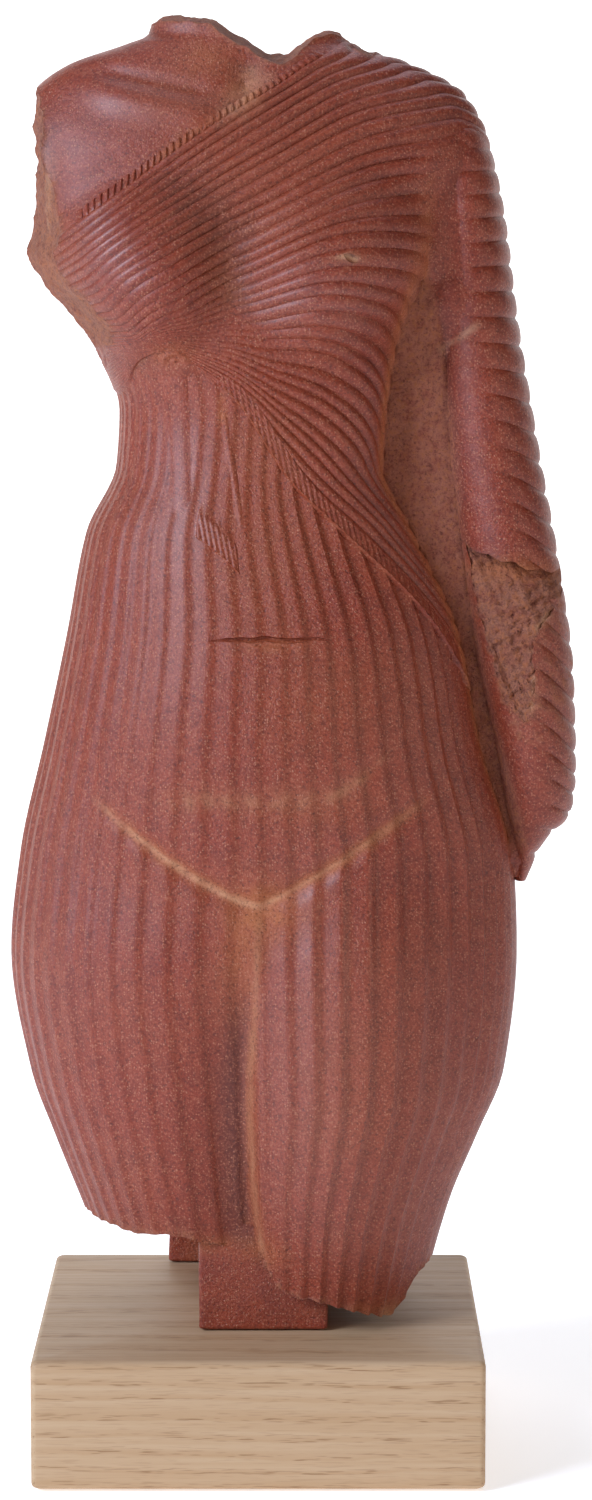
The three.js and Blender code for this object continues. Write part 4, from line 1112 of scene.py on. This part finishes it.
def oak(finish):
    """Oak planed flat and oiled thin. The plane's cut shows wavy growth lines and short dark pores along the
    grain, and the thin oil leaves it pale and matt."""
    material, tree = new_material("oak_planed_and_oiled")
    place = add(tree, "TexCoord").outputs["Object"]
    # Noises drawn out along the grain: slow bends, small waves, pores and straight streaks, by their length
    # and width in millimetres and their detail
    noises = []
    for along, across, detail in ((70, 16, 3.0), (14, 2.2, 2.0), (5.5, 0.32, 1.0), (60, 1.1, 3.0)):
        stretch = (1 / (along * MM), 1 / (across * MM), 1 / (across * MM))
        grain = add(tree, "Mapping", {"Vector": place, "Scale": stretch})
        noises.append(add(tree, "TexNoise", {"Vector": grain, "Scale": 1.0, "Detail": detail}))
    bends, waves, pores, streaks = noises
    # The years' layers lie aslant in the block, 3.9 mm apart, bent and a little wavy.
    apart = add(tree, "SeparateXYZ", {"Vector": place}).outputs
    level = add(tree, "Math", {0: apart["Y"], 1: 0.32, 2: apart["Z"]}, operation="MULTIPLY_ADD")
    level = add(tree, "Math", {0: bends, 1: 6.5 * MM, 2: level}, operation="MULTIPLY_ADD")
    level = add(tree, "Math", {0: waves, 1: 1.2 * MM, 2: level}, operation="MULTIPLY_ADD")
    phase = add(tree, "Math", {0: level, 1: 3.9 * MM}, operation="DIVIDE")
    phase = add(tree, "Math", {0: phase}, operation="FRACT")
    # Each year's line: sharp on one side and fading on the other
    line = add(tree, "MapRange", {"Value": phase, 1: 0.4, 2: 0.0})
    edge = add(tree, "MapRange", {"Value": phase, 1: 0.9, 2: 1.0})
    line = add(tree, "Math", {0: line, 1: edge}, operation="MAXIMUM")
    streaked = add(tree, "MapRange", {"Value": streaks, 1: 0.35, 2: 0.65, 3: 0.0, 4: 0.4})
    lined = add(tree, "Math", {0: line, 1: 0.45}, operation="MULTIPLY")
    holes = add(tree, "MapRange", {"Value": pores, 1: 0.56, 2: 0.66})
    depth = add(tree, "Math", {0: line, 1: 0.6, 2: 0.16}, operation="MULTIPLY_ADD")
    holes = add(tree, "Math", {0: holes, 1: depth}, operation="MULTIPLY")
    colour = rgba(finish.oak)
    for share, tint in ((streaked, finish.oak_line), (lined, finish.oak_line), (holes, finish.oak_pore)):
        colour = add(tree, "Mix", {0: share, 6: colour, 7: rgba(tint)}, data_type="RGBA").outputs[2]
    height = add(tree, "Math", {0: streaks, 1: 0.4}, operation="MULTIPLY")
    height = add(tree, "Math", {0: height, 1: holes}, operation="SUBTRACT")
    bump = add(tree, "Bump", {"Height": height, "Strength": 0.4, "Distance": 0.15 * MM})
    gloss = add(tree, "MapRange", {"Value": streaks, 1: 0.3, 2: 0.7, 3: 0.52, 4: 0.64})
    surface = add(tree, "BsdfPrincipled", {"Base Color": colour, "Roughness": gloss, "Normal": bump})
    add(tree, "OutputMaterial", {"Surface": surface})
    return material


def studio_paper(finish):
    """Matt white paper. It glows, so that it stays white behind the statuette. Before the block, where the
    camera doesn't see it, it glows less, so that it throws little light up."""
    material, tree = new_material("studio_paper_matt")
    apart = add(tree, "SeparateXYZ", {"Vector": add(tree, "TexCoord").outputs["Object"]})
    depth = apart.outputs["Y"]
    behind = add(tree, "MapRange", {"Value": depth, 1: 0.0, 2: 0.9, 3: 0.5, 4: 1.0})
    before = add(tree, "MapRange", {"Value": depth, 1: -0.35, 2: -0.1, 3: 0.1, 4: 1.0})
    glow = add(tree, "Math", {0: behind, 1: before}, operation="MULTIPLY")
    surface = add(tree, "BsdfPrincipled", {
        "Base Color": rgba(finish.studio), "Roughness": 0.9,
        "Emission Color": (1, 1, 1, 1), "Emission Strength": glow,
    })
    add(tree, "OutputMaterial", {"Surface": surface})
    return material


# The studio's soft lights: place in metres, side in metres, power in watts, colour
LIGHTS = {
    "key_softbox": ((-0.98, -0.74, 0.75), 0.6, 22.4, "#dbe7ff"),
    "fill_softbox": ((0.95, -0.75, 0.4), 0.7, 3.2, "#fff0e4"),
    "top_softbox": ((0.1, 0.35, 1.1), 0.6, 3, "#dfe8ff"),
}
LIGHT_AIM = (0, 0, 0.17)
# The photo's camera: place in metres, degrees that it looks down, lens and sensor in millimetres
CAMERA = {"place": (0.008315, -0.91485, 0.26271), "down": 6.5172, "lens": 97.025, "sensor": 36}
# The paper's length on the floor, its bend's radius and its height behind, in millimetres
PAPER = {"front": -4500, "floor": 8000, "bend": 1200, "wall": 2600, "half_width": 5000, "under": -0.5,
         "rows": 60, "columns": 24}


def studio_floor():
    """The paper as a grid: level floor, then a quarter circle, then an upright wall."""
    share = np.linspace(0, 1, PAPER["rows"])
    floor, bend = 0.45, 0.3
    turn = np.clip((share - floor) / bend, 0, 1) * math.pi / 2
    y = PAPER["front"] + PAPER["floor"] * np.minimum(share / floor, 1) + PAPER["bend"] * np.sin(turn)
    wall = np.maximum(share - (floor + bend), 0) / (1 - floor - bend)
    z = PAPER["under"] + PAPER["bend"] * (1 - np.cos(turn)) + PAPER["wall"] * wall
    x = np.linspace(-PAPER["half_width"], PAPER["half_width"], PAPER["columns"])
    grid = np.stack(np.broadcast_arrays(x[None, :], y[:, None], z[:, None]), -1)
    i, j = np.meshgrid(np.arange(PAPER["rows"] - 1), np.arange(PAPER["columns"] - 1), indexing="ij")
    corner, row = i * PAPER["columns"] + j, PAPER["columns"]
    faces = np.stack([corner, corner + 1, corner + row + 1, corner + row], -1).reshape(-1, 4)
    return mesh_object("studio_floor", grid.reshape(-1, 3), [faces])


def length_property(name, description, length):
    """A length setting, with its default in millimetres."""
    return bpy.props.FloatProperty(
        name=name, description=description, default=length * MM, unit="LENGTH", precision=5)


def count_property(name, description, count, least):
    """A setting that counts."""
    return bpy.props.IntProperty(name=name, description=description, default=count, min=least)


class StatuetteSizes(bpy.types.PropertyGroup):
    """Sizes of the drapery and the block."""

    skirt_pleats: count_property("Skirt pleats", "Standing pleats round the skirt", 56, 8)
    skirt_depth: length_property("Skirt pleat depth", "How far a skirt pleat drops to the next", 0.62)
    shawl_pleats: count_property("Shawl pleats", "Pleats from the shawl's edge to its neckline", 33, 4)
    shawl_depth: length_property("Shawl pleat depth", "Greatest depth of a shawl pleat", 0.68)
    arm_pleats: count_property("Sleeve pleats", "Ring pleats on the arm", 30, 4)
    arm_depth: length_property("Sleeve pleat depth", "Depth of a ring pleat", 0.74)
    stroke_spacing: length_property("Stroke spacing", "From stroke to stroke in the fringes", 1.1)
    stitch_spacing: length_property("Stitch spacing", "From stitch to stitch on the neckline", 1.8)
    block_edge: length_property("Block edge", "Radius of the oak block's eased edges", 1.4)


def colour_property(name, description, hex_colour):
    """A colour setting whose default is an sRGB hex colour."""
    return bpy.props.FloatVectorProperty(
        name=name, description=description, default=to_linear(hex_colour), size=3, subtype="COLOR",
        min=0, max=1)


class StatuetteFinishes(bpy.types.PropertyGroup):
    """Colours of the stone, the oak and the studio."""

    stone: colour_property("Stone", "Red-brown of the cast", "#8a341f")
    stone_warm: colour_property("Warm stone", "Where the tint is more tan", "#913f26")
    stone_dark: colour_property("Dark stone", "Depth of the mottling", "#692217")
    # The dark of painted shade in grooves, the crease and under the lip, of patina beside the arm and of wax
    # in the skin's pits
    groove: colour_property("Groove", "Dark of grooves and of the crease", "#4a2019")
    web_brown: colour_property("Web", "Brown of the rough stone between body and arm", "#af6b55")
    dust: colour_property("Dust", "Tan in lines and hollows", "#b36a40")
    # Pale also carries painted light: the groin's lines are paler on their left part
    pale: colour_property("Pale", "Core of the lines, and chips", "#d6a67e")
    grain: colour_property("Grain", "Pale grains of the filler", "#bb785a")
    break_face: colour_property("Break", "Dry broken stone", "#9f6852")
    oak: colour_property("Oak", "Warm pale ground of the oak", "#c0a17e")
    oak_line: colour_property("Oak line", "Darker growth lines", "#b08a60")
    oak_pore: colour_property("Oak pore", "Dark pores", "#86603a")
    studio: colour_property("Studio", "Floor and backdrop", "#fbfbfb")


class STATUETTE_OT_torso(bpy.types.Operator):
    """Builds the cast: body, drapery, arm, post and pillar in one"""

    bl_idname = "statuette.torso"
    bl_label = "Build the cast"

    def execute(self, context):
        drapery = [neckline_band(), *fringes(), knot_mesh(), *sash_meshes()]
        solids = [skirt_mesh(), skin_mesh(), shawl_mesh(), arm_mesh(), web_mesh(), *drapery]
        mesh = cut_and_join("torso_cast", solids, break_meshes() + front_cuts(), post_meshes())
        mesh.shade_smooth()
        mesh.set_sharp_from_angle(angle=SHARP)
        write_fields(mesh)
        piece = bpy.data.objects.new("torso_cast", mesh)
        context.scene.collection.objects.link(piece)
        mesh.materials.clear()
        mesh.materials.append(cast_stone(context.scene.statuette_finishes))
        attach(piece, "root")
        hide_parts("torso")
        return {"FINISHED"}


class STATUETTE_OT_plinth(bpy.types.Operator):
    """Builds the oak block"""

    bl_idname = "statuette.plinth"
    bl_label = "Build the oak block"

    def execute(self, context):
        low, high = (np.array(corner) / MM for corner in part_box("plinth"))
        edge = context.scene.statuette_sizes.block_edge / MM
        grid = block(lambda z: (low[0], high[0], low[1], high[1]), np.linspace(low[2], high[2], 8), edge, 25)
        piece = tube("plinth_oak", grid)
        piece.data.shade_smooth()
        piece.data.set_sharp_from_angle(angle=SHARP)
        piece.data.materials.append(oak(context.scene.statuette_finishes))
        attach(piece, "root")
        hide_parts("plinth")
        return {"FINISHED"}


class STATUETTE_OT_stage(bpy.types.Operator):
    """Sets up the floor, the soft light and the camera"""

    bl_idname = "statuette.stage"
    bl_label = "Set up the studio"

    def execute(self, context):
        scene = context.scene
        scene.view_settings.view_transform = "Standard"
        floor = studio_floor()
        floor.data.materials.append(studio_paper(scene.statuette_finishes))
        floor.data.shade_smooth()
        scene.world = bpy.data.worlds.new("studio_air")
        scene.world.use_nodes = True
        air = scene.world.node_tree.nodes["Background"].inputs
        air["Color"].default_value = (0.95, 0.97, 1, 1)
        air["Strength"].default_value = 0.05
        for name, (place, side, power, colour) in LIGHTS.items():
            light = bpy.data.lights.new(name, "AREA")
            light.shape, light.size, light.energy, light.color = "SQUARE", side, power, to_linear(colour)
            lamp = bpy.data.objects.new(name, light)
            lamp.location = place
            aim_x, aim_y, aim_z = np.array(LIGHT_AIM) - np.array(place)
            lamp.rotation_euler = (math.atan2(math.hypot(aim_x, aim_y), -aim_z), 0, math.atan2(-aim_x, aim_y))
            scene.collection.objects.link(lamp)
        camera = bpy.data.cameras.new("photo_camera")
        camera.lens, camera.sensor_width = CAMERA["lens"], CAMERA["sensor"]
        camera.clip_start, camera.clip_end = 0.05, 20
        viewer = bpy.data.objects.new("photo_camera", camera)
        viewer.location = CAMERA["place"]
        viewer.rotation_euler = (math.radians(90 - CAMERA["down"]), 0, 0)
        scene.collection.objects.link(viewer)
        scene.camera = viewer
        return {"FINISHED"}


class STATUETTE_PT_panel(bpy.types.Panel):
    """The statuette's settings and steps"""

    bl_idname = "STATUETTE_PT_panel"
    bl_label = "Statuette"
    bl_space_type = "VIEW_3D"
    bl_region_type = "UI"
    bl_category = "Statuette"

    def draw(self, context):
        for group in (context.scene.statuette_sizes, context.scene.statuette_finishes):
            box = self.layout.box()
            for key in group.__annotations__:
                box.prop(group, key)
        for operator in OPERATORS:
            self.layout.operator(operator.bl_idname)


OPERATORS = (STATUETTE_OT_torso, STATUETTE_OT_plinth, STATUETTE_OT_stage)
CLASSES = (StatuetteSizes, StatuetteFinishes, *OPERATORS, STATUETTE_PT_panel)


def register():
    """Registers the classes and hangs the settings on the scene."""
    for each in CLASSES:
        bpy.utils.register_class(each)
    bpy.types.Scene.statuette_sizes = bpy.props.PointerProperty(type=StatuetteSizes)
    bpy.types.Scene.statuette_finishes = bpy.props.PointerProperty(type=StatuetteFinishes)


def unregister():
    """Takes the settings and the classes away."""
    del bpy.types.Scene.statuette_finishes
    del bpy.types.Scene.statuette_sizes
    for each in reversed(CLASSES):
        bpy.utils.unregister_class(each)


def main():
    """Builds everything in order."""
    register()
    bpy.ops.statuette.stage()
    bpy.ops.statuette.plinth()
    bpy.ops.statuette.torso()


if __name__ == "__main__":
    main()
